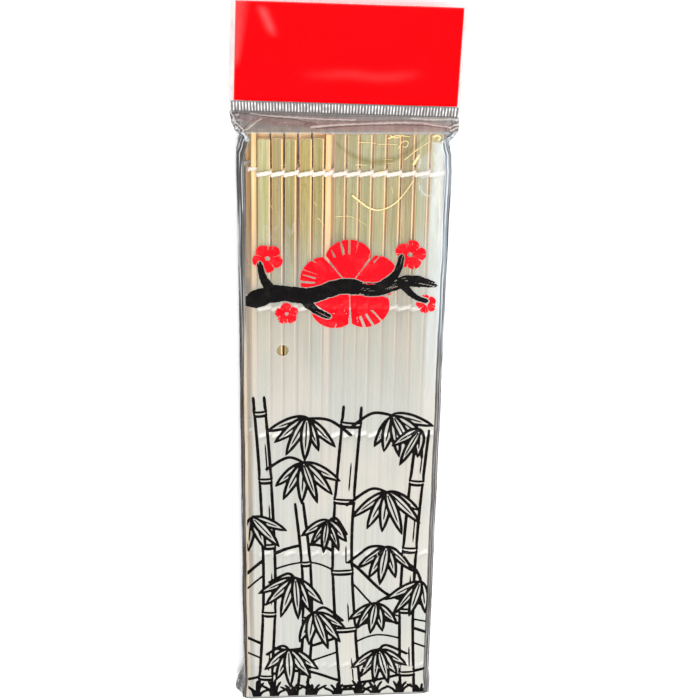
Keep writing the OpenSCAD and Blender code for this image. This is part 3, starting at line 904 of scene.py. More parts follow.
# creases of the lower end wall, drawn as painted highlight and shade lines in the print: strength, and the two ends in
# x and z
WALL_CREASES = [(0.55, (-37, 15.5), (-19, 6.0)), (0.5, (-37, 1.5), (-17, 7.5)), (0.35, (-22, 6.8), (6, 9.6)), (0.4, (2, 9.6), (24, 4.0)),
                (0.5, (20, 4.6), (37, 1.5)), (0.55, (18, 10.6), (37, 15.5)), (0.3, (-8, 16.4), (4, 8.6)), (0.3, (23, 3.6), (19, 13.0)), (0.25, (-30, 0.6), (-12, 2.6))]
verts, uvs, tint_and_painted_light, cover, painted_relief_shades = [], [], [], [], []
for kind, val in rows_of:
    for u in us:
        painted_relief = 0.0
        side = -1 if u < 0 else 1
        a = abs(u) / 38.0
        if kind == "wall":
            z = 0.4 + 16.3 * val
            half = edge_x(-122, side)
            x = u * half / 38.0
            x += side * ear(side, val) * smooth(a, 0.7, 1.0)
            y = -122.3 + 0.4 * smooth(val, 0.85, 1.0) - 0.35 * math.sin(val * math.pi) * (1 - a ** 6)
            y += 0.18 * fbm(x * 0.12, z * 0.2, 5.0) * math.sin(val * math.pi) + slid(x, -122)
            z -= 1.3 * max(a - 0.92, 0) / 0.08 * val
            alpha, col, c = 0.16, CLEAR, 0.93 * (1 - smooth(a, 0.93, 0.97))
            # painted shade: the wall darkens to grey towards its sides and along its upper rim
            g = smooth(a, 0.9, 0.98)
            alpha = alpha + (0.7 - alpha) * g
            col = mix(CLEAR, srgb(104, 99, 96), g)
            if val < 0.12:
                alpha = max(alpha, 0.4)
            rim = smooth(val, 0.86, 0.97)
            col, alpha = mix(col, srgb(74, 70, 68), rim), max(alpha, 0.8 * rim)
            for strength, (xa, za), (xb, zb) in WALL_CREASES:
                dx, dz = xb - xa, zb - za
                t = ((x - xa) * dx + (z - za) * dz) / (dx * dx + dz * dz)
                bow_ = 0.5 * noise.noise(Vector((t * 2.5, xa * 0.3, 4.0)))
                off = ((x - xa) * dz - (z - za) * dx) / math.hypot(dx, dz) + bow_
                fade = strength * smooth(t, 0.0, 0.15) * (1 - smooth(t, 0.8, 1.0))
                painted_relief += fade * (bump(off, 0.0, 0.55) - 0.9 * bump(off, 0.75, 0.7))
                y -= 0.12 * fade * bump(off, 0.0, 0.8)
            painted_relief = min(max(painted_relief, -0.9), 0.9) * (1 - g)
        elif kind == "top":
            x, y, z = front_point(u, val)
            alpha = 0.012
            col = CLEAR
            # the film turns down at the sides and is seen on the slant there
            strip, cover_ = side_lines(side, u, y)
            g = smooth(abs(u), 35.2, 35.6)
            col, alpha = mix(col, strip, g), alpha + (cover_ - alpha) * g
            # a soft glare at the upper right
            gl = smooth(x, 29.8, 32.2) * (1 - smooth(x, 35.4, 36.2)) * (0.35 + 0.65 * smooth(y, -20, 60)) * (1 - smooth(y, 116.6, 117.1))
            gl *= 0.75 + 0.35 * noise.noise(Vector((x * 0.5, y * 0.04, 9.0)))
            g2 = smooth(x, 25.9 + 0.9 * noise.noise(Vector((y * 0.08, 2.0, 7.0))), 26.5) * (1 - smooth(y - 0.8 * (x - 25), 109, 111.5)) * smooth(y, 10, 60)
            gl = max(gl, 0.42 * g2 * (0.8 + 0.4 * noise.noise(Vector((x * 0.4, y * 0.05, 19.0)))))
            if u > 0 and u < 35.6:
                alpha = max(alpha, 0.62 * gl)
                col = mix(col, BLUE, min(gl * 1.6, 1))
            bow = 110.3 + 0.034 * (x - 11.5) ** 2
            crescent = bump(y, bow - 0.6, 1.9 * (0.35 + 0.65 * bump(x, 13, 12)))
            veil_ = smooth(x, -6.5, -5.5) * smooth(y, 80, 92) * (0.75 + 0.5 * noise.noise(Vector((x * 0.08, y * 0.05, 29.0))))
            veil_ *= 0.10 * (1 - crescent) + 0.06 * bump(y, bow + 1.6, 0.5)
            if abs(u) < 35.6:
                alpha = max(alpha, veil_)
                arc_ = 0.34 * crescent * smooth(x, -6.0, -2.0) * (1 - smooth(x, 28, 31))
                if arc_ > alpha:
                    col, alpha = mix(col, srgb(122, 112, 62), min(arc_ * 3, 1)), arc_
            # painted glints on the folds listed in GLINTS
            m = glint(x, y)
            if m > 0.02:
                top_ = 0.52 if x > 0 else 0.30
                col, alpha = mix(col, srgb(250, 250, 246), m), max(alpha, alpha + (top_ - alpha) * m)
            # painted slope grey along the top edge, where the film turns down under the header
            up_ = smooth(y + 0.25 * noise.noise(Vector((x * 0.3, 5.0, 3.0))), 120.7, 120.95)
            if up_ > 0:
                base_ = mix(SLOPE_SHADE_GREY, mix(srgb(114, 113, 110), srgb(164, 166, 161), smooth(x, -20, 30)), 0.5 + 0.5 * fbm(x * 0.05, y * 0.5, 2.0))
                col, alpha = mix(col, base_, up_), alpha + (0.9 - alpha) * up_
            # painted glints and shade flecked over the crumpled ears of the film at the upper corners
            ear_ = smooth(y, 116.4, 118.4) * smooth(abs(u), 34.6 + 0.4 * noise.noise(Vector((y * 0.6, side * 3.0, 2.0))), 35.3)
            if ear_ > 0:
                crumple_shading = fbm(x * 0.9, y * 1.1, 23.0)
                tone_ = mix(srgb(112, 116, 118), srgb(220, 228, 232), smooth(crumple_shading, 0.02, 0.16))
                tone_ = mix(tone_, srgb(34, 33, 36), max(smooth(-crumple_shading, 0.10, 0.24), bump(abs(u), 35.2, 0.16)))
                col, alpha = mix(col, tone_, ear_), alpha + (0.88 - alpha) * ear_
            # a dark line of painted shade along the lower end, where the film turns down into the wall
            low = smooth(-val, 120.6, 121.1) * (1 - smooth(abs(u), 36.5, 37.5))
            col, alpha = mix(col, srgb(50, 47, 46), low), max(alpha, 0.92 * low)
            c = ink_cover(y) * (1 - (smooth(u, 35.3, 35.9) if u > 0 else smooth(-u, 35.9, 36.7))) * (1 - low)
            # painted highlight on the film over each twine strand, painted shade just below it
            painted_relief = (0.75 * strand_under(x, y) - 0.42 * strand_under(x, y + 1.25) * (1 - strand_under(x, y))) * smooth(-y, -60, -40) * (1 - 0.5 * smooth(-y, 20, 45) - 0.28 * smooth(-y, 70, 95))
            # each gap between slats draws a faint grey line of painted shade through the print
            seam = max(bump(x, g_ + 0.1, 0.46) for g_ in SEAMS)
            painted_relief -= (0.34 - 0.20 * smooth(-y, -10, 60)) * seam * smooth(-y, -78, -50) * (0.7 + 0.6 * noise.noise(Vector((x * 0.7, y * 0.03, 6.0))))
            if side < 0:
                c *= 1 - (0.55 - 0.25 * smooth(-y, 60, 110)) * smooth(-u, 32.6, 34.6)
        else:
            y = 121.0 + (WELD - 121.0) * val
            half = edge_x(y, side)
            x = u * half / 38.0
            start = front_point(u, 121.0)[2]
            z = start + (9.05 - start) * (val ** 1.1)
            corner = smooth(a, 0.86, 1.0)
            amp = math.sin(math.pi * min(val * 1.02, 1.0))
            z += amp * (0.5 * fbm(x * 0.04 + 3, y * 0.3, 1.0) + 0.12 * fbm(x * 0.2, y * 0.9, 6.0))
            z += amp * corner * 1.3 * fbm(x * 0.45, y * 0.7, 12.0)
            y += amp * 0.2 * fbm(x * 0.07, y * 0.5, 20.0)
            dark = light = 0.0
            for kind_, strength, wide, line in SHOULDER_LINES:
                vl = along_line(line, u)
                if vl is None:
                    continue
                m = strength * bump(val, vl, wide)
                if kind_ == "dark":
                    dark = max(dark, m)
                else:
                    light = max(light, m)
            z += 0.20 * light - 0.18 * dark
            # crinkle ridges, raised a little and painted paler as glints
            glinting_crinkle = smooth(-abs(fbm(x * 0.10 + 4, y * 0.55 + x * 0.03, 77.0)), -0.045, 0.0) * amp
            z += 0.07 * glinting_crinkle
            x, y, z = turned(x, y, z, smooth(val, 0.0, 1.0))
            # the slope is painted grey for the dark it reflects and the shade under it, lighter to the right; each
            # crease is a dark line of painted shade or a bright painted glint, and painted glints and shade fleck the
            # crumpled corners
            col = mix(SLOPE_SHADE_GREY, mix(srgb(114, 113, 110), srgb(164, 166, 161), smooth(x, -20, 30)), 0.5 + 0.5 * fbm(x * 0.05, y * 0.5, 2.0))
            col = mix(col, srgb(196, 190, 184), 0.30 * glinting_crinkle)
            col = mix(col, mix(srgb(70, 44, 42), srgb(56, 53, 52), smooth(x, -16, -2)), 0.85 * dark)
            col = mix(col, srgb(240, 238, 232), 0.85 * light)
            crumple_shading = fbm(x * 0.9, y * 1.4, 17.0)
            corner *= 1 - max(dark, light)
            col = mix(col, srgb(214, 224, 230), corner * smooth(crumple_shading, 0.16, 0.26))
            col = mix(col, srgb(62, 60, 64), corner * smooth(-crumple_shading, 0.16, 0.26))
            alpha = 0.90
            c = 0.0
        verts.append((x, y, z))
        uvs.append((x, y if kind != "wall" else -122.3 - (16 - z)))
        tint_and_painted_light.append((col[0], col[1], col[2], alpha))
        cover.append(c)
        painted_relief_shades.append(painted_relief)
nu = len(us)
faces, slope = [], []
first_slope = next(j for j, (kind, val) in enumerate(rows_of) if kind == "shoulder") - 1
top_rows = [j for j, (kind, val) in enumerate(rows_of) if kind == "top" and abs(val - VENT[1]) < 3.3]
near_cols = [k for k, u in enumerate(us) if abs(u * 38.1 / 38.0 - VENT[0]) < 3.3]
j0, j1, k0, k1 = top_rows[0], top_rows[-1], near_cols[0], near_cols[-1]
for j in range(len(rows_of) - 1):
    for k in range(nu - 1):
        a = j * nu + k
        if not (j0 <= j < j1 and k0 <= k < k1):
            (slope if j >= first_slope else faces).append((a, a + 1, a + nu + 1, a + nu))
# between a square of the grid and the round rim of the vent hole lie rings of their own
loop = [j0 * nu + k for k in range(k0, k1)] + [j * nu + k1 for j in range(j0, j1)] + [j1 * nu + k for k in range(k1, k0, -1)] + [j * nu + k0 for j in range(j1, j0, -1)]
inner = loop
for t in (0.3, 0.6, 0.85, 1.0):
    ring = []
    for q in loop:
        x, y, _ = verts[q]
        ang = math.atan2(y - VENT[1], x - VENT[0])
        cx, cy = VENT[0] + VENT[2] * math.cos(ang), VENT[1] + VENT[2] * math.sin(ang)
        px, py = x + (cx - x) * t, y + (cy - y) * t
        ring.append(len(verts))
        verts.append((px, py, film_z(px, py) - (0.12 if t == 1.0 else 0.0)))
        uvs.append((px, py))
        tint_and_painted_light.append((*CLEAR[:3], 0.012 if t < 1 else 0.5))
        cover.append(ink_cover(py) if t < 1 else 0.95)
        painted_relief_shades.append(0.0)
    for q in range(len(loop)):
        r = (q + 1) % len(loop)
        faces.append((inner[q], inner[r], ring[r], ring[q]))
    inner = ring
keep = sorted({q for f in slope for q in f})
renum = {q: i for i, q in enumerate(keep)}
shoulder = piece("shoulder_bag_film", [verts[q] for q in keep], [tuple(renum[q] for q in f) for f in slope], [M_SHOULDER], "root",
                 uvs=[uvs[q] for q in keep], colours={"tint_and_painted_light": [tint_and_painted_light[q] for q in keep]}, nodes=["shoulder_film"])
shoulder.visible_shadow = False
keep = sorted({q for f in faces for q in f})
renum = {q: i for i, q in enumerate(keep)}
front = piece("front_bag_film", [verts[q] for q in keep], [tuple(renum[q] for q in f) for f in faces], [M_FRONT], "root",
              uvs=[uvs[q] for q in keep], colours={"tint_and_painted_light": [tint_and_painted_light[q] for q in keep]}, values={"ink": [cover[q] for q in keep], "painted_relief_shade": [painted_relief_shades[q] for q in keep]},
              nodes=["front_film"])


def gusset(side):
    """The side of the bag, tucked in along its middle."""
    yl = [-122.2 + 0.6 * k / 2 for k in range(3)] + lines(-121.0, 121.0, 1.6, [(104, 121, 0.8), (-121, -108, 0.8)]) + [121.0 + (WELD - 121.1) * k / 12 for k in range(1, 13)]
    prof = 27
    verts, uvs, tint_and_painted_light = [], [], []
    for y in yl:
        yy = min(y, 121.0)
        top = front_point(side * 38.0, max(min(y, 121.0), -120.4))
        for k in range(prof):
            f = k / (prof - 1)
            w = edge_x(y, side)
            z_top = top[2] + 0.02
            z = 0.38 + (z_top - 0.38) * f
            tuck = 0.9 * (1 - abs(2 * f - 1)) ** 0.8 + 0.25 * noise.noise(Vector((y * 0.08, f * 3.0, side * 9.0)))
            tuck *= smooth(y, -121.4, -108)
            tuck = max(tuck, 0.0)
            x = side * (w - tuck - 0.02)
            yv = y + slid(x, y)
            if y < -106:
                x += side * ear(side, f) * smooth(y, -106, -122)
            if y > 121.0:
                # both films close on the weld
                g = (y - 121.0) / (WELD - 121.1)
                lo, hi = 0.1 + 8.4 * g, z_top + (9.0 - z_top) * g ** 1.15
                z = lo + (hi - lo) * f
                tuck = 3.4 * math.sin(math.pi * f) * math.sin(math.pi * min(g + 0.25, 1.0)) * (1 - 0.5 * g)
                x = side * (w - tuck)
                x, yv, z = turned(x, y, z, smooth(g, 0.0, 1.0))
            verts.append((x, yv, z))
            uvs.append((z, y))
            # painted light on the side: dark grey in shade with bright painted glint lines on the left, pale blue grey
            # glare with dark lines on the right
            n1 = fbm(f * 2.5, y * 0.045, side * 11.0)
            pale = min(max(0.5 + 0.6 * fbm(f * 4.0, y * 0.03, side * 2.0), 0), 1)
            if side < 0:
                col = mix(srgb(76, 72, 70), srgb(128, 124, 121), pale)
                line = max(bump(f, 0.3 + 0.1 * n1, 0.05), bump(f, 0.78 + 0.08 * n1, 0.04))
                col = mix(col, srgb(230, 234, 235), line * 0.8)
                alpha = 0.85 + 0.1 * n1
            else:
                col = mix(srgb(118, 120, 124), srgb(206, 216, 222), pale)
                line = max(bump(f, 0.24 + 0.1 * n1, 0.05), bump(f, 0.55 + 0.1 * n1, 0.04), bump(f, 0.86 + 0.05 * n1, 0.04))
                col = mix(col, srgb(62, 64, 72), line * 0.85)
                alpha = 0.66 + 0.15 * n1 + 0.25 * line
            if y < -99:
                # the corner is crumpled: painted dark shade with bright painted glints on its crinkles, and a dark edge
                glinting_crinkle = max(smooth(abs(fbm(f * 4.0, y * 0.35, side * 21.0)), 0.050, 0.01), 0.8 * smooth(abs(fbm(f * 6.0 + 3, y * 0.5, side * 31.0)), 0.035, 0.0))
                k_ = smooth(y, -99, -109)
                col = mix(col, mix(srgb(30, 27, 26), srgb(206, 204, 200), 0.75 * glinting_crinkle), k_)
                alpha = alpha + (0.93 - alpha) * k_
            # near the weld it takes the painted slope grey of the shoulder
            if y > 117:
                col = mix(col, mix(SLOPE_SHADE_GREY, srgb(228, 228, 226), pale * 0.5), smooth(y, 117, 122))
                alpha = alpha + (0.85 - alpha) * smooth(y, 117, 122)
            tint_and_painted_light.append((col[0], col[1], col[2], min(max(alpha, 0.1), 0.95)))
    faces = []
    for j in range(len(yl) - 1):
        for k in range(prof - 1):
            a = j * prof + k
            f = (a, a + 1, a + prof + 1, a + prof)
            faces.append(f if side < 0 else f[::-1])
    name = "left" if side < 0 else "right"
    return piece(name + "_bag_side", verts, faces, [M_FILM], "root", uvs=uvs, colours={"tint_and_painted_light": tint_and_painted_light}, nodes=[name + "_gusset"])


left_side, right_side = gusset(-1), gusset(1)


def ribbon(points, widths, name, material, slot, thick=0.12):
    """A thin doubled edge of film, with a flat oval section, along points."""
    verts, faces, ring = [], [], 6
    pts = [Vector(p) for p in points]
    n = len(pts)
    for i, p in enumerate(pts):
        t = (pts[min(i + 1, n - 1)] - pts[max(i - 1, 0)]).normalized()
        side = t.cross(Vector((0, 0, 1))).normalized()
        up = side.cross(t)
        for k in range(ring):
            a = 2 * math.pi * k / ring
            verts.append(tuple(p + side * math.cos(a) * widths[i] + up * math.sin(a) * thick))
    for i in range(n - 1):
        for k in range(ring):
            a, b = i * ring + k, i * ring + (k + 1) % ring
            faces.append((a, b, b + ring, a + ring))
    faces.append(tuple(range(ring))[::-1])
    faces.append(tuple((n - 1) * ring + k for k in range(ring)))
    return verts, faces


def joined(parts):
    verts, faces = [], []
    for v, f in parts:
        base = len(verts)
        verts += v
        faces += [tuple(q + base for q in g) for g in f]
    return verts, faces


creases = []
for side in (-1, 1):
    # the upper crease, where the front film turns down, and the outer one, lower on the side
    yl = lines(-120.0, 119.0, 1.6)
    creases.append(ribbon([(side * (edge_x(y, side) - 0.25), y, front_point(side * 37.3, y)[2] + 0.05) for y in yl],
                          [0.16 + 0.12 * noise.noise(Vector((y * 0.05, side * 2.0, 0.3))) for y in yl], "", None, ""))
    creases.append(ribbon([(side * (edge_x(y, side) + 0.1), y, 7.0 + 3.0 * noise.noise(Vector((y * 0.02, side * 4.0, 0.0)))) for y in yl],
                          [0.15 + 0.10 * noise.noise(Vector((y * 0.07, side * 6.0, 3.3))) for y in yl], "", None, ""))
v, f = joined(creases)
crease_piece = piece("bag_edge_creases", v, f, [M_FOLD], "root")

# ---------------------------------------------------------------- back of the bag
xb = lines(-38.0, 38.0, 2.0, [(-38.0, -36.0, 0.5), (36.0, 38.0, 0.5)])
yb = [-124.6 + 0.4 * k for k in range(6)] + lines(-122.4, 121.2, 2.5) + [121.2 + (WELD - 121.3) * k / 14 for k in range(1, 15)]
verts, uvs, tint_and_painted_light = [], [], []
for y in yb:
    for u in xb:
        side = -1 if u < 0 else 1
        a = abs(u) / 38
        if y < -122.3:
            x, yv, z = u * 37.0 / 38.0, y, 0.12 + 0.05 * math.sin(y * 8)
            alpha, col = 0.5, srgb(190, 194, 198)
        elif y <= 121.2:
            x, yv, z = u * min(edge_x(y, side), 38.3) / 38.0, y, 0.10 + 0.06 * (1 + noise.noise(Vector((u * 0.12, y * 0.05, 30.0))))
            # the left margin is painted darker grey for the shade of the folded side
            if side < 0:
                alpha, col = 0.16 + 0.55 * smooth(a, 0.92, 0.95), mix(srgb(206, 210, 214), srgb(120, 115, 112), smooth(a, 0.90, 0.94))
            else:
                alpha, col = 0.16 + 0.3 * smooth(a, 0.94, 0.97), srgb(196, 202, 206)
        else:
            # the slope up to the weld is painted in the slope grey of the shoulder
            g = (y - 121.2) / (WELD - 121.3)
            x = u * edge_x(y, side) / 38.0
            z = 0.15 + 8.35 * g ** 0.9 + math.sin(math.pi * g) * 0.5 * fbm(x * 0.07, y * 0.2, 41.0)
            x, yv, z = turned(x, y, z, smooth(g, 0.0, 1.0))
            alpha, col = 0.75, mix(SLOPE_SHADE_GREY, srgb(196, 192, 190), 0.5 + 0.5 * fbm(x * 0.1, y * 0.4, 15.0))
        verts.append((x, yv, max(z, 0.03)))
        uvs.append((x, yv))
        tint_and_painted_light.append((col[0], col[1], col[2], alpha))
faces = []
for j in range(len(yb) - 1):
    for k in range(len(xb) - 1):
        a = j * len(xb) + k
        faces.append((a + len(xb), a + len(xb) + 1, a + 1, a))
back = piece("back_bag_film", verts, faces, [M_FILM], "root", uvs=uvs, colours={"tint_and_painted_light": tint_and_painted_light}, nodes=["back_film", "bottom_seal"])

# ---------------------------------------------------------------- weld and header
def head(x, y, z):
    """The header lies nearly flat, with a slight curl of its corners."""
    f = max(y - HEAD_Y, 0) / HEAD_H
    z += 0.25 * f * (x / 41) ** 2 + 0.10 * math.sin(x * 0.11 + 0.6) * f
    return turned(x, y, z, 1.0)


ribs = 74
cols = ribs * 6 + 1
rowsy = [SEAL_Y - 0.15, SEAL_Y, SEAL_Y + 0.15, SEAL_Y + 0.5, SEAL_Y + 1.7, SEAL_Y + SEAL_H - 0.5, SEAL_Y + SEAL_H - 0.15, SEAL_Y + SEAL_H, SEAL_Y + SEAL_H + 0.12]
verts, faces, uvs, rib = [], [], [], []
for layer in (1, -1):
    for y in rowsy:
        lift = smooth(y, SEAL_Y, SEAL_Y + 0.4) * (1 - smooth(y, SEAL_Y + SEAL_H - 0.4, SEAL_Y + SEAL_H))
        for k in range(cols):
            x = -HEAD_W / 2 + 0.5 + (HEAD_W - 1.0) * k / (cols - 1)
            w = 0.5 + 0.5 * math.cos(2 * math.pi * k / 6)
            z = 8.86 + 0.30 * w * lift if layer > 0 else 8.62 + 0.18 * w * lift
            lean_ = (y - SEAL_Y - SEAL_H / 2) * (0.07 * math.sin(x * 0.045) + 0.05 * noise.noise(Vector((x * 0.5, 1.0, 0))))
            verts.append(head(min(max(x + 0.06 * noise.noise(Vector((x, y, 0))) + lean_, -HEAD_W / 2 + 0.4), HEAD_W / 2 - 0.4), y, z))
            uvs.append((x, y))
            rib.append(w * (0.35 + 0.65 * lift) * (0.82 + 0.45 * noise.noise(Vector((x * 0.9, y * 0.8, 5.0)))))
n = len(rowsy) * cols
for j in range(len(rowsy) - 1):
    for k in range(cols - 1):
        a = j * cols + k
        faces.append((a, a + 1, a + cols + 1, a + cols))
        faces.append((n + a + cols, n + a + cols + 1, n + a + 1, n + a))
for k in range(cols - 1):
    a, b = k, (len(rowsy) - 1) * cols + k
    faces.append((a + 1, a, n + a, n + a + 1))
    faces.append((b, b + 1, n + b + 1, n + b))
for j in range(len(rowsy) - 1):
    a, b = j * cols, j * cols + cols - 1
    faces.append((a, a + cols, n + a + cols, n + a))
    faces.append((b + cols, b, n + b, n + b + cols))
seal = piece("ribbed_weld", verts, faces, [M_SEAL], "root", uvs=uvs, values={"rib": rib}, nodes=["top_seal"])


def slab(name, x0, x1, y0, y1, z0, z1, nx, ny, mats, nodes, tint_and_painted_light=None, wave=0.0):
    """A thin plate with a real thickness, that follows the header's curl."""
    verts, uvs, col, faces = [], [], [], []
    gx = [x0 + (x1 - x0) * k / nx for k in range(nx + 1)]
    gy = [y0 + (y1 - y0) * k / ny for k in range(ny + 1)]
    for top in (1, 0):
        for y in gy:
            for x in gx:
                z = z1 if top else z0
                z += wave * fbm(x * 0.05, y * 0.07, 3.0 + top * 0)
                verts.append(head(x, y, z))
                uvs.append((x, y))
                if tint_and_painted_light:
                    col.append(tint_and_painted_light(x, y))
    n, c = (nx + 1) * (ny + 1), nx + 1
    for j in range(ny):
        for k in range(nx):
            a = j * c + k
            faces.append((a, a + 1, a + c + 1, a + c))
            faces.append((n + a + c, n + a + c + 1, n + a + 1, n + a))
    for k in range(nx):
        a, b = k, ny * c + k
        faces.append((a + 1, a, n + a, n + a + 1))
        faces.append((b, b + 1, n + b + 1, n + b))
    for j in range(ny):
        a, b = j * c, j * c + nx
        faces.append((a, a + c, n + a + c, n + a))
        faces.append((b + c, b, n + b, n + b + c))
    o = piece(name, verts, faces, mats, "root", uvs=uvs, colours={"tint_and_painted_light": col} if tint_and_painted_light else None, nodes=nodes)
    return o


card = slab("red_header_card", -39.6, 40.2, HEAD_Y + 0.25, HEAD_Y + HEAD_H - 0.4, 8.72, 8.98, 60, 28, [M_CARD], ["header_card"], wave=0.08)


def pocket_tint_and_glare(x, y):
    inside = smooth(x, -39.9, -39.4) * (1 - smooth(x, 40.0, 40.5))
    edge = max(bump(abs(x), 41.05, 0.2), bump(y, HEAD_Y + HEAD_H - 0.1, 0.25))
    col = mix(srgb(236, 240, 241), srgb(150, 154, 160), min(edge, 1) * 0.7)
    col = mix(srgb(226, 220, 216), col, max(inside, min(edge, 1)))
    v = (y - HEAD_Y) / HEAD_H
    # painted glare on the pocket film: a soft patch at the left edge, a diagonal streak and a faint band low across the
    # middle
    left = smooth(-x, 38.9 - 5.4 * v, 39.5) * smooth(v, 0.30, 0.46) * 0.06
    streak = bump(x + 0.42 * (y - HEAD_Y - 30.0), -28.6, 1.1 + 0.5 * v) * smooth(v, 0.62, 0.76) * (1 - smooth(v, 0.88, 0.98)) * 0.07
    low = bump(v, 0.30 + 0.06 * noise.noise(Vector((x * 0.05, 3.0, 8.0))), 0.05) * smooth(x, -20, 0) * (1 - smooth(x, 16, 30)) * 0.02
    a = 0.62 * (1 - inside) + 0.002 * inside + 0.3 * edge + inside * max(left, streak, low)
    return (col[0], col[1], col[2], min(a, 0.9))


# the pocket round the card is two sheets that meet at the edges
def pocket_sheet(name, z, nodes, sign):
    nx, ny = (190, 90) if sign > 0 else (96, 34)
    verts, uvs, col, faces = [], [], [], []
    for j in range(ny + 1):
        y = HEAD_Y - 0.05 + (HEAD_H + 0.1) * j / ny
        for k in range(nx + 1):
            x = -41.2 + 82.4 * k / nx
            rim = max(smooth(abs(x), 40.3, 41.2), smooth(y, HEAD_Y + HEAD_H - 0.5, HEAD_Y + HEAD_H), 1 - smooth(y, HEAD_Y, HEAD_Y + 0.8))
            zz = 8.85 + (z - 8.85) * (1 - rim) + 0.02 * sign
            zz += sign * 0.10 * (1 - rim) * max(fbm(x * 0.06, y * 0.08, 50.0 + sign), 0)
            verts.append(head(x, y, zz))
            uvs.append((x, y))
            col.append(pocket_tint_and_glare(x, y))
    c = nx + 1
    for j in range(ny):
        for k in range(nx):
            a = j * c + k
            f = (a, a + 1, a + c + 1, a + c)
            faces.append(f if sign > 0 else f[::-1])
    return piece(name, verts, faces, [M_FILM], "root", uvs=uvs, colours={"tint_and_painted_light": col}, nodes=nodes)


pocket_front = pocket_sheet("header_pocket_front", 9.16, ["header_film"], 1)
pocket_back = pocket_sheet("header_pocket_back", 8.5, ["header_film"], -1)

# ---------------------------------------------------------------- printed motifs
class Field:
    """A height field over a rectangle: positive where there is ink. Turned into a mesh along its zero line."""

    def __init__(self, x0, x1, y0, y1, cell):
        self.x = np.arange(x0, x1 + cell / 2, cell)
        self.y = np.arange(y0, y1 + cell / 2, cell)
        self.X, self.Y = np.meshgrid(self.x, self.y)
        self.f = np.full(self.X.shape, -5.0)
        self.cell = cell

    def window(self, xa, xb, ya, yb):
        i0, i1 = np.searchsorted(self.x, [xa, xb])
        j0, j1 = np.searchsorted(self.y, [ya, yb])
        return slice(j0, j1), slice(i0, i1)

    def stroke(self, pts, widths):
        for (xa, ya), (xb, yb), wa, wb in zip(pts, pts[1:], widths, widths[1:]):
            m = max(wa, wb) + self.cell * 2
            win = self.window(min(xa, xb) - m, max(xa, xb) + m, min(ya, yb) - m, max(ya, yb) + m)
            X, Y = self.X[win], self.Y[win]
            dx, dy = xb - xa, yb - ya
            ll = dx * dx + dy * dy + 1e-9
            t = np.clip(((X - xa) * dx + (Y - ya) * dy) / ll, 0, 1)
            d = np.hypot(X - xa - t * dx, Y - ya - t * dy)
            self.f[win] = np.maximum(self.f[win], wa + (wb - wa) * t - d)

    def erase(self, poly):
        px, py = np.array(poly).T
        win = self.window(px.min(), px.max(), py.min(), py.max())
        X, Y = self.X[win], self.Y[win]
        inside = np.zeros(X.shape, bool)
        for (xa, ya), (xb, yb) in zip(poly, poly[1:] + poly[:1]):
            if ya == yb:
                continue
            hit = ((ya > Y) != (yb > Y)) & (X < (xb - xa) * (Y - ya) / (yb - ya) + xa)
            inside ^= hit
        self.f[win] = np.where(inside, -5.0, self.f[win])

    def mesh(self, lift):
        f = np.clip(self.f, -self.cell * 1.5, self.cell * 1.5)
        verts, faces, seen = [], [], {}
        act = (np.maximum(np.maximum(f[:-1, :-1], f[1:, :-1]), np.maximum(f[:-1, 1:], f[1:, 1:])) > 0)

        def corner(j, i):
            key = (j, i)
            if key not in seen:
                seen[key] = len(verts)
                verts.append((self.x[i], self.y[j]))
            return seen[key]

        def cut(j0, i0, j1, i1):
            key = (j0, i0, j1, i1) if (j0, i0) < (j1, i1) else (j1, i1, j0, i0)
            if key not in seen:
                a, b = f[j0, i0], f[j1, i1]
                t = min(max(a / (a - b), 0.02), 0.98)
                seen[key] = len(verts)
                verts.append((self.x[i0] + (self.x[i1] - self.x[i0]) * t, self.y[j0] + (self.y[j1] - self.y[j0]) * t))
            return seen[key]

        for j, i in zip(*np.nonzero(act)):
            ring = [(j, i), (j, i + 1), (j + 1, i + 1), (j + 1, i)]
            out = []
            for a, b in zip(ring, ring[1:] + ring[:1]):
                fa, fb = f[a], f[b]
                if fa > 0:
                    out.append(corner(*a))
                if (fa > 0) != (fb > 0):
                    out.append(cut(*a, *b))
            if len(out) >= 3 and len(set(out)) == len(out):
                faces.append(tuple(out))
        pts = []
        for x, y in verts:
            side = -1 if x < 0 else 1
            u = x * 38.0 / edge_x(y, side)
            pts.append((x, y, over_mat(u, x, y) + lift))
        return pts, faces


def curve(points, step=0.5):
    """A smooth line through given points."""
    p = [Vector((*q, 0)) for q in points]
    out = []
    for i in range(len(p) - 1):
        a, b, c, d = p[max(i - 1, 0)], p[i], p[i + 1], p[min(i + 2, len(p) - 1)]
        n = max(int((c - b).length / step), 1)
        for k in range(n):
            t = k / n
            q = 0.5 * ((2 * b) + (c - a) * t + (2 * a - 5 * b + 4 * c - d) * t * t + (3 * b - a - 3 * c + d) * t ** 3)
            out.append((q.x, q.y))
    out.append((p[-1].x, p[-1].y))
    return out


def pen(field, pts, w, taper=(0.6, 0.6), r=None):
    n = len(pts)
    ws = []
    for i in range(n):
        f = i / max(n - 1, 1)
        k = min(1.0, taper[0] + (1 - taper[0]) * f * 6, taper[1] + (1 - taper[1]) * (1 - f) * 6)
        ws.append(w * k * (1 + 0.10 * noise.noise(Vector((pts[i][0] * 0.6, pts[i][1] * 0.6, w)))))
    field.stroke(pts, ws)


art = Field(-36.2, 36.2, -121.2, 20.0, 0.27)
pr = random.Random(21)


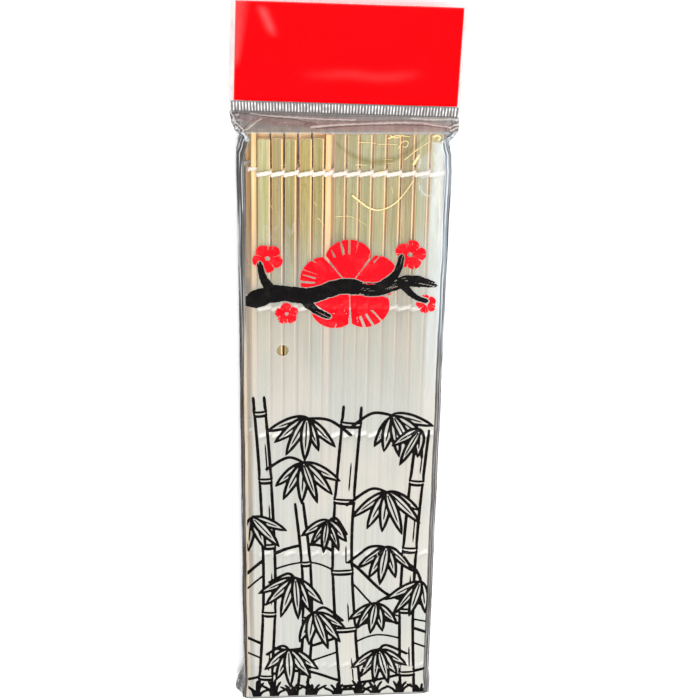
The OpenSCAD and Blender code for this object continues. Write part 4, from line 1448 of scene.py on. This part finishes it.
def stalk(points, width, joints):
    """A bamboo cane: two lines and a ring at each joint."""
    mid = curve(points)
    n = len(mid)
    left, right = [], []
    for i, (x, y) in enumerate(mid):
        a, b = mid[max(i - 1, 0)], mid[min(i + 1, n - 1)]
        d = Vector((b[0] - a[0], b[1] - a[1])).normalized()
        f = i / (n - 1)
        near = min(abs(f - j) for j in joints) * n * 0.5
        w = width / 2 * (1 - 0.18 * f) * (1 + 0.10 * math.exp(-(near / 1.6) ** 2))
        left.append((x - d.y * w, y + d.x * w))
        right.append((x + d.y * w, y - d.x * w))
    art.erase(left + right[::-1])
    marks = [0] + [int(j * (n - 1)) for j in joints] + [n - 1]
    for a, b in zip(marks, marks[1:]):
        if b - a > 4:
            pen(art, left[a + (1 if a else 0):b], 0.60, (0.8, 0.8))
            pen(art, right[a + (1 if a else 0):b], 0.60, (0.8, 0.8))
    for j in joints:
        k = int(j * (n - 1))
        (xl, yl), (xr, yr) = left[k], right[k]
        d = Vector((xr - xl, yr - yl))
        nrm = Vector((-d.y, d.x)).normalized()
        for off, sag, w in ((0.7, 0.5, 0.48), (-0.9, 0.75, 0.62)):
            pts = []
            for q in range(9):
                t = q / 8
                e = Vector((xl, yl)) + d * t + nrm * (off - sag * 4 * t * (1 - t) * 0.5)
                pts.append((e.x, e.y))
            pen(art, pts, w)
    # one light stroke down each long section of the cane
    if width > 4.5:
        for a, b in zip(marks, marks[1:]):
            if b - a > 30:
                s0, s1 = a + int((b - a) * 0.12), a + int((b - a) * (0.4 + 0.3 * pr.random()))
                pts = [(l[0] + (r[0] - l[0]) * 0.7, l[1] + (r[1] - l[1]) * 0.7) for l, r in zip(left[s0:s1], right[s0:s1])]
                pen(art, pts, 0.30, (0.3, 0.3))


def leaf(x, y, ang, length, width, bend=0.0, rib=True):
    """One pointed leaf from its stem at (x, y)."""
    n = 22
    up, lo, mid = [], [], []
    for k in range(n + 1):
        t = k / n
        w = width / 2 * (math.sin(math.pi * t ** 0.72) ** 0.9 if 0 < t < 1 else 0)
        a = ang + bend * t
        cx = x + length * t * math.cos(ang + bend * t * 0.5)
        cy = y + length * t * math.sin(ang + bend * t * 0.5)
        up.append((cx - math.sin(a) * w, cy + math.cos(a) * w))
        lo.append((cx + math.sin(a) * w, cy - math.cos(a) * w))
        mid.append((cx, cy))
    art.erase(up + lo[::-1])
    pen(art, up, 0.58, (0.7, 0.4))
    pen(art, lo, 0.58, (0.7, 0.4))
    if rib:
        pen(art, mid[2:-6], 0.32, (0.8, 0.2))


def twig(points):
    pen(art, curve(points), 0.62, (1.0, 0.6))


def spray(x, y, ang, spread, count, length, width=3.6):
    order = list(range(count))
    order.sort(key=lambda k: abs(k - (count - 1) / 2), reverse=True)
    for k in order:
        f = (k / (count - 1) - 0.5) if count > 1 else 0
        leaf(x + pr.uniform(-0.4, 0.4), y + pr.uniform(-0.4, 0.4), ang + spread * f + pr.uniform(-0.07, 0.07), length * (1 - 0.35 * abs(f)) * pr.uniform(0.9, 1.08), width * pr.uniform(0.88, 1.12), -0.25 * f)


DOWN = -math.pi / 2
# hills far behind, drawn as long lines
for pts, w in (([(-36, -62), (-24, -52), (-8, -49), (6, -58), (20, -72), (36, -77)], 0.66),
               ([(-36, -69), (-25, -60), (-10, -57), (4, -65), (17, -79), (36, -85)], 0.42),
               ([(-36, -92), (-20, -98), (-2, -93), (16, -84), (36, -90)], 0.66),
               ([(-36, -99), (-20, -105), (-2, -100), (16, -91), (36, -97)], 0.42),
               ([(-36, -112), (-14, -108), (8, -114), (36, -107)], 0.66)):
    pen(art, curve(pts), w, (1, 1))
stalk([(29, -121), (27.5, -80), (28.5, -40), (31.5, 2)], 5.6, [0.12, 0.34, 0.57, 0.8])
stalk([(-29, -121), (-27, -70), (-28.5, -20), (-31, 16)], 5.0, [0.1, 0.3, 0.52, 0.74, 0.93])
stalk([(6, -121), (3, -84), (1.5, -44), (4.5, 12)], 8.2, [0.06, 0.25, 0.46, 0.69, 0.92])
stalk([(-14, -121), (-12, -92), (-12.5, -60), (-15.5, -30)], 3.8, [0.16, 0.42, 0.7])
for pts in ([(4, -57), (12, -50), (19, -50)], [(4, 0), (-4, 6), (-12, 7)], [(3, -31), (12, -24), (18, -25)], [(-28, -15), (-20, -10), (-14, -12)],
            [(-27, -66), (-20, -62), (-17, -64)], [(2, -84), (-5, -78), (-9, -80)], [(4, 3), (12, 9), (20, 8)], [(28, -70), (20, -73), (15, -76)],
            [(28, -100), (20, -96), (17, -98)], [(-28, -100), (-22, -96), (-19, -98)], [(31.4, -10), (31, -4), (30, 2)], [(28, -58), (31, -61), (33, -66)],
            [(-28.4, -46), (-31, -40), (-33.5, -36)], [(-12, -44), (-7, -38), (-4, -38)], [(3, -44), (-1, -37), (-4, -38)]):
    twig(pts)
spray(20, 8, DOWN + 0.35, 1.9, 6, 19)
spray(-13, 7, DOWN - 0.25, 2.1, 6, 19)
spray(18.5, -25, DOWN + 0.1, 2.0, 6, 20)
spray(-14, -12, DOWN + 0.15, 2.0, 6, 19)
spray(-4.5, -38, DOWN - 0.1, 1.7, 5, 15, 3.2)
spray(19, -50, DOWN - 0.1, 1.7, 5, 18)
spray(15, -76, DOWN - 0.15, 1.8, 5, 16, 3.3)
spray(-17, -64, DOWN - 0.15, 2.0, 6, 20)
spray(-9, -80, DOWN + 0.3, 1.6, 5, 18)
spray(17, -98, DOWN + 0.05, 2.0, 6, 17)
spray(-19, -98, DOWN + 0.1, 1.8, 5, 17)
spray(33, -66, DOWN - 0.45, 1.2, 4, 19)
spray(-33.5, -36, DOWN + 0.5, 1.3, 4, 18)
spray(30, 2, DOWN - 0.5, 1.0, 3, 16, 3.2)
# tufts of grass along the lower edge
for k in range(9):
    gx = -33.5 + 67 * k / 8 + pr.uniform(-1.5, 1.5)
    for q in range(5):
        f = q / 4 - 0.5
        h = pr.uniform(6, 10) * (1 - 0.7 * abs(f))
        lean_ = 9.0 * f + pr.uniform(-0.6, 0.6)
        x0_ = gx + 2.0 * f
        pen(art, curve([(x0_, -121.0), (x0_ + 0.25 * lean_, -121.0 + h * 0.6), (x0_ + lean_, -121.0 + h)]), 0.56, (1.0, 0.15))
edge = np.minimum(35.7 - np.abs(art.X), np.minimum(art.Y + 120.7 - 1.9 * np.clip((art.X + 36) / 72, 0, 1), 19.8 - art.Y))
art.f = np.minimum(art.f, edge)

# a plum branch and blossom, in the place of the upper print
brush = Field(-35.6, 35.6, 44.0, 82.0, 0.27)


def brush_stroke(pts, w0, w1, seed, dry=0.55):
    """A broad, slightly dry stroke: its edge is ragged and a few hair lines open towards its end."""
    line = curve(pts, 0.6)
    n = len(line)
    ws = []
    for i in range(n):
        f = i / (n - 1)
        w = w0 + (w1 - w0) * f
        w *= 1 + 0.16 * noise.noise(Vector((line[i][0] * 0.35, line[i][1] * 0.35, seed)))
        w *= min(1.0, 0.55 + f * 9, 0.35 + (1 - f) * 7)
        ws.append(w)
    tmp = Field(-35.6, 35.6, 44.0, 82.0, 0.27)
    tmp.stroke(line, ws)
    along = np.zeros(tmp.X.shape)
    across = np.zeros(tmp.X.shape)
    best = np.full(tmp.X.shape, 1e9)
    run = 0
    for i in range(n - 1):
        (xa, ya), (xb, yb) = line[i], line[i + 1]
        m = max(w0, w1) * 1.5
        win = tmp.window(min(xa, xb) - m, max(xa, xb) + m, min(ya, yb) - m, max(ya, yb) + m)
        X, Y = tmp.X[win], tmp.Y[win]
        d = math.hypot(xb - xa, yb - ya) + 1e-9
        t = np.clip(((X - xa) * (xb - xa) + (Y - ya) * (yb - ya)) / d ** 2, 0, 1)
        dist = np.hypot(X - xa - t * (xb - xa), Y - ya - t * (yb - ya))
        sgn = np.sign((xb - xa) * (Y - ya) - (yb - ya) * (X - xa))
        hit = dist < best[win]
        best[win] = np.where(hit, dist, best[win])
        along[win] = np.where(hit, run + t * d, along[win])
        across[win] = np.where(hit, dist * sgn, across[win])
        run += d
    act = np.argwhere(tmp.f > -0.6)
    for j, i in act:
        a, c = along[j, i], across[j, i]
        f = a / run
        hairs = noise.noise(Vector((c * 2.6, a * 0.10, seed)))
        rag = 0.22 * noise.noise(Vector((c * 3.0, a * 0.9, seed + 3)))
        gap = dry * max(f - 0.55, 0) * 2.2 * (0.35 + abs(c) / max(w0, w1))
        v = tmp.f[j, i] + rag
        cut = (0.62 - gap - abs(hairs) * 0) + hairs
        if gap > 0 and hairs < -0.28 + gap * 0.0 and f > 0.6:
            v = min(v, (hairs + 0.28) * 1.6)
        tmp.f[j, i] = v
    return tmp.f


red = Field(-35.6, 35.6, 44.0, 82.0, 0.27)
black_parts = []
black_parts.append(brush_stroke([(-34.5, 55.5), (-24, 58.6), (-12, 57.8), (0, 61.5), (12, 60.2), (24, 63.6), (34.2, 62.0)], 3.5, 2.1, 1.0))
black_parts.append(brush_stroke([(-25, 58.6), (-29.0, 64.5), (-30.5, 71)], 2.1, 0.9, 2.0))
black_parts.append(brush_stroke([(-15.5, 58), (-10.5, 52.5), (-4.5, 49.0)], 2.0, 1.0, 3.0))
black_parts.append(brush_stroke([(13, 60.6), (19.5, 66.5), (21.5, 74.0)], 1.9, 0.9, 4.0))
black_parts.append(brush_stroke([(21, 63.2), (26.5, 57.5), (31.5, 55.5)], 1.7, 0.8, 5.0))
brush.f = black_parts[0]
for p in black_parts[1:]:
    brush.f = np.maximum(brush.f, p)


def blossom(cx, cy, r, turn, seed):
    """Five round petals laid as separate brush dabs, with an open heart."""
    out = np.full(red.X.shape, -5.0)
    for k in range(5):
        a = turn + 2 * math.pi * k / 5
        px, py = cx + 0.60 * r * math.cos(a), cy + 0.60 * r * math.sin(a)
        dx, dy = red.X - px, red.Y - py
        al = dx * math.cos(a) + dy * math.sin(a)
        ac = -dx * math.sin(a) + dy * math.cos(a)
        petal = 0.46 * r - np.hypot(al / 0.98, ac * 0.93)
        out = np.maximum(out, petal)
    heart = 0.17 * r - np.hypot(red.X - cx, red.Y - cy)
    out = np.minimum(out, -heart)
    for k in range(5):
        a = turn + 2 * math.pi * (k + 0.5) / 5
        dx, dy = red.X - cx, red.Y - cy
        al = dx * math.cos(a) + dy * math.sin(a)
        ac = np.abs(-dx * math.sin(a) + dy * math.cos(a))
        cut = np.minimum((0.012 + 0.05 * np.clip(al / r - 0.45, 0, 1)) * r - ac, al)
        out = np.minimum(out, -cut)
    act = np.argwhere(out > -0.8)
    for j, i in act:
        x, y = red.X[j, i] - cx, red.Y[j, i] - cy
        ang, rad = math.atan2(y, x), math.hypot(x, y)
        v = out[j, i] + 0.16 * noise.noise(Vector((x * 1.4, y * 1.4, seed)))
        hairs = noise.noise(Vector((ang * 11, rad * 0.05, seed + 4)))
        if rad > r * 0.72 and hairs < -0.30:
            v = min(v, (hairs + 0.30) * 2.0)
        out[j, i] = v
    return out


red.f = np.maximum(red.f, blossom(2.5, 61.5, 17.6, 0.35, 1.0))
red.f = np.maximum(red.f, blossom(-27.5, 72.5, 5.4, 0.9, 2.0))
red.f = np.maximum(red.f, blossom(24.5, 74.0, 5.6, 0.1, 3.0))
red.f = np.maximum(red.f, blossom(31.0, 54.5, 3.6, 0.6, 4.0))
red.f = np.maximum(red.f, blossom(-20.5, 50.5, 4.2, 0.4, 5.0))
red.f = np.minimum(red.f, -brush.f - 0.35)

v1, f1 = art.mesh(0.045)
v2, f2 = brush.mesh(0.05)
v, f = joined([(v1, f1), (v2, f2)])
black_print = piece("black_print_motif", v, f, [M_BLACK], "root")
v, f = red.mesh(0.045)
red_print = piece("red_print_motif", v, f, [M_RED], "root")


# ---------------------------------------------------------------- loose splinters
def fibre(pts, r0, r1, z0, z1, verts, faces, flatness=0.6):
    line = curve(pts, 0.6)
    n, first, ring = len(line), len(verts), 6
    for i, (x, y) in enumerate(line):
        a, b = line[max(i - 1, 0)], line[min(i + 1, n - 1)]
        d = Vector((b[0] - a[0], b[1] - a[1], 0)).normalized()
        side = Vector((-d.y, d.x, 0))
        f = i / (n - 1)
        rad = (r0 + (r1 - r0) * f) * (1 + 0.25 * noise.noise(Vector((x * 1.5, y * 1.5, 2.0))))
        z = z0 + (z1 - z0) * f + 0.08 * math.sin(f * 9)
        for k in range(ring):
            t = 2 * math.pi * k / ring
            verts.append((x + side.x * math.cos(t) * rad, y + side.y * math.cos(t) * rad, z + math.sin(t) * rad * flatness))
    for i in range(n - 1):
        for k in range(ring):
            a, b = first + i * ring + k, first + i * ring + (k + 1) % ring
            faces.append((a, b, b + ring, a + ring))
    faces.append(tuple(first + k for k in range(ring))[::-1])
    faces.append(tuple(first + (n - 1) * ring + k for k in range(ring)))


verts, faces = [], []
fibre([(2.9, 97.0), (6.2, 94.2), (9.4, 92.0), (13.0, 91.3), (17.5, 93.2), (21.5, 97.5), (25.0, 103.2)], 0.42, 0.16, 16.65, 16.75, verts, faces)
fibre([(-3.0, 88.6), (1.5, 88.9), (5.0, 87.6), (8.5, 85.2)], 0.12, 0.08, 16.5, 16.5, verts, faces)
fibre([(21.3, 110.4), (25.4, 114.0), (30.5, 117.8)], 0.2, 0.12, 16.6, 16.7, verts, faces)
fibre([(24.6, 108.6), (26.8, 112.6)], 0.62, 0.3, 16.55, 16.6, verts, faces, 0.4)
fibre([(3.9, 108.6), (8.0, 108.4)], 0.17, 0.1, 16.5, 16.5, verts, faces)
fibre([(6.3, 105.4), (9.6, 104.6), (14.4, 106.0)], 0.2, 0.12, 16.6, 16.6, verts, faces)
fibre([(13.8, 110.5), (17.2, 110.7)], 0.13, 0.1, 16.5, 16.5, verts, faces)
fibre([(13.9, 109.3), (17.4, 109.1)], 0.13, 0.1, 16.5, 16.5, verts, faces)
fibre([(4.5, 117.1), (11.2, 116.7)], 0.16, 0.12, 16.5, 16.5, verts, faces)
fibre([(11.8, 116.4), (18.8, 116.2)], 0.16, 0.1, 16.5, 16.5, verts, faces)
fibre([(19.0, 114.6), (20.3, 117.2), (22.4, 117.4), (22.0, 115.4), (20.4, 115.6)], 0.2, 0.14, 16.6, 16.8, verts, faces)
fibre([(15.2, 118.4), (18.6, 119.6), (23.0, 119.2)], 0.3, 0.16, 16.6, 16.5, verts, faces)
fibre([(16.0, 119.8), (18.0, 118.8), (20.8, 119.9)], 0.26, 0.18, 16.9, 16.7, verts, faces)
fibre([(31.2, 118.9), (32.6, 119.8), (34.0, 118.9), (33.0, 117.8)], 0.5, 0.3, 16.6, 16.7, verts, faces)
fibre([(8.0, 104.9), (11.0, 105.6), (14.2, 106.4)], 0.24, 0.14, 17.0, 17.0, verts, faces)
fibre([(-26.5, 93.0), (-25.6, 91.6)], 0.12, 0.08, 16.4, 16.4, verts, faces)
fibre([(-10.8, 94.4), (-9.7, 92.6)], 0.13, 0.08, 16.4, 16.4, verts, faces)
fibre([(-9.4, 88.2), (-8.2, 86.8), (-7.0, 85.0)], 0.13, 0.08, 16.4, 16.4, verts, faces)
fibre([(17.0, 100.2), (17.6, 97.6)], 0.12, 0.07, 16.4, 16.4, verts, faces)
splinters = piece("loose_bamboo_fibres", verts, faces, [M_SPLINTER], "root", nodes=["loose_splinters"])

# ---------------------------------------------------------------- the film pieces and prints get meshes of their own
for o in (front, shoulder, left_side, right_side, crease_piece, black_print, red_print, splinters):
    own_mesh(o)

# ---------------------------------------------------------------- floor and light
me = bpy.data.meshes.new("floor")
me.from_pydata([(-3, -3, -0.0002), (3, -3, -0.0002), (3, 3, -0.0002), (-3, 3, -0.0002)], [], [(0, 1, 2, 3)])
floor = bpy.data.objects.new("floor", me)
bpy.context.scene.collection.objects.link(floor)
fm = Nodes("pale_floor")
fm.set(Base_Color=fm.ramp(fm.noise(fm.coords((3, 3, 3)), 1.0, 2.0), [(0.0, (0.97, 0.97, 0.97, 1)), (1.0, (1.0, 1.0, 1.0, 1))]), Roughness=0.9)
fm.bsdf.inputs["Specular IOR Level"].default_value = 0.0
me.materials.append(fm.m)

world = bpy.data.worlds.new("studio")
bpy.context.scene.world = world
world.use_nodes = True
wt = world.node_tree
bg = next(n for n in wt.nodes if n.type == "BACKGROUND")
tc = wt.nodes.new("ShaderNodeTexCoord")
sep = wt.nodes.new("ShaderNodeSeparateXYZ")
wr = wt.nodes.new("ShaderNodeValToRGB")
wt.links.new(tc.outputs["Generated"], sep.inputs[0])
wt.links.new(sep.outputs["Z"], wr.inputs["Fac"])
wr.color_ramp.elements[0].position, wr.color_ramp.elements[0].color = 0.0, (0.30, 0.31, 0.33, 1)
wr.color_ramp.elements[1].position, wr.color_ramp.elements[1].color = 0.5, (1.0, 1.0, 1.0, 1)
wt.links.new(wr.outputs["Color"], bg.inputs["Color"])
bg.inputs["Strength"].default_value = 0.62


def area_light(name, loc, target, size, power, colour=(1, 1, 1)):
    d = bpy.data.lights.new(name, "AREA")
    d.shape = "RECTANGLE"
    d.size, d.size_y = size
    d.energy = power
    d.color = colour
    o = bpy.data.objects.new(name, d)
    o.location = loc
    o.rotation_euler = (Vector(target) - Vector(loc)).to_track_quat("-Z", "Y").to_euler()
    bpy.context.scene.collection.objects.link(o)
    return o


area_light("key", (-0.55, 0.75, 1.05), (0, 0, 0), (0.7, 0.7), 5.8)
area_light("front", (0.12, 0.62, 0.95), (0, 0.02, 0), (0.5, 0.4), 2.6)
area_light("above", (0.0, 0.15, 1.25), (0, 0, 0), (0.34, 0.5), 7.6)
area_light("fill", (0.95, -0.25, 0.85), (0, 0, 0), (0.7, 0.7), 3.5, (0.96, 0.98, 1.0))
area_light("strip", (0.42, -0.62, 0.75), (0.02, 0, 0), (0.12, 1.1), 2.0, (0.94, 0.97, 1.0))

sc = bpy.context.scene
sc.view_settings.view_transform = "Standard"
sc.view_settings.look = "None"
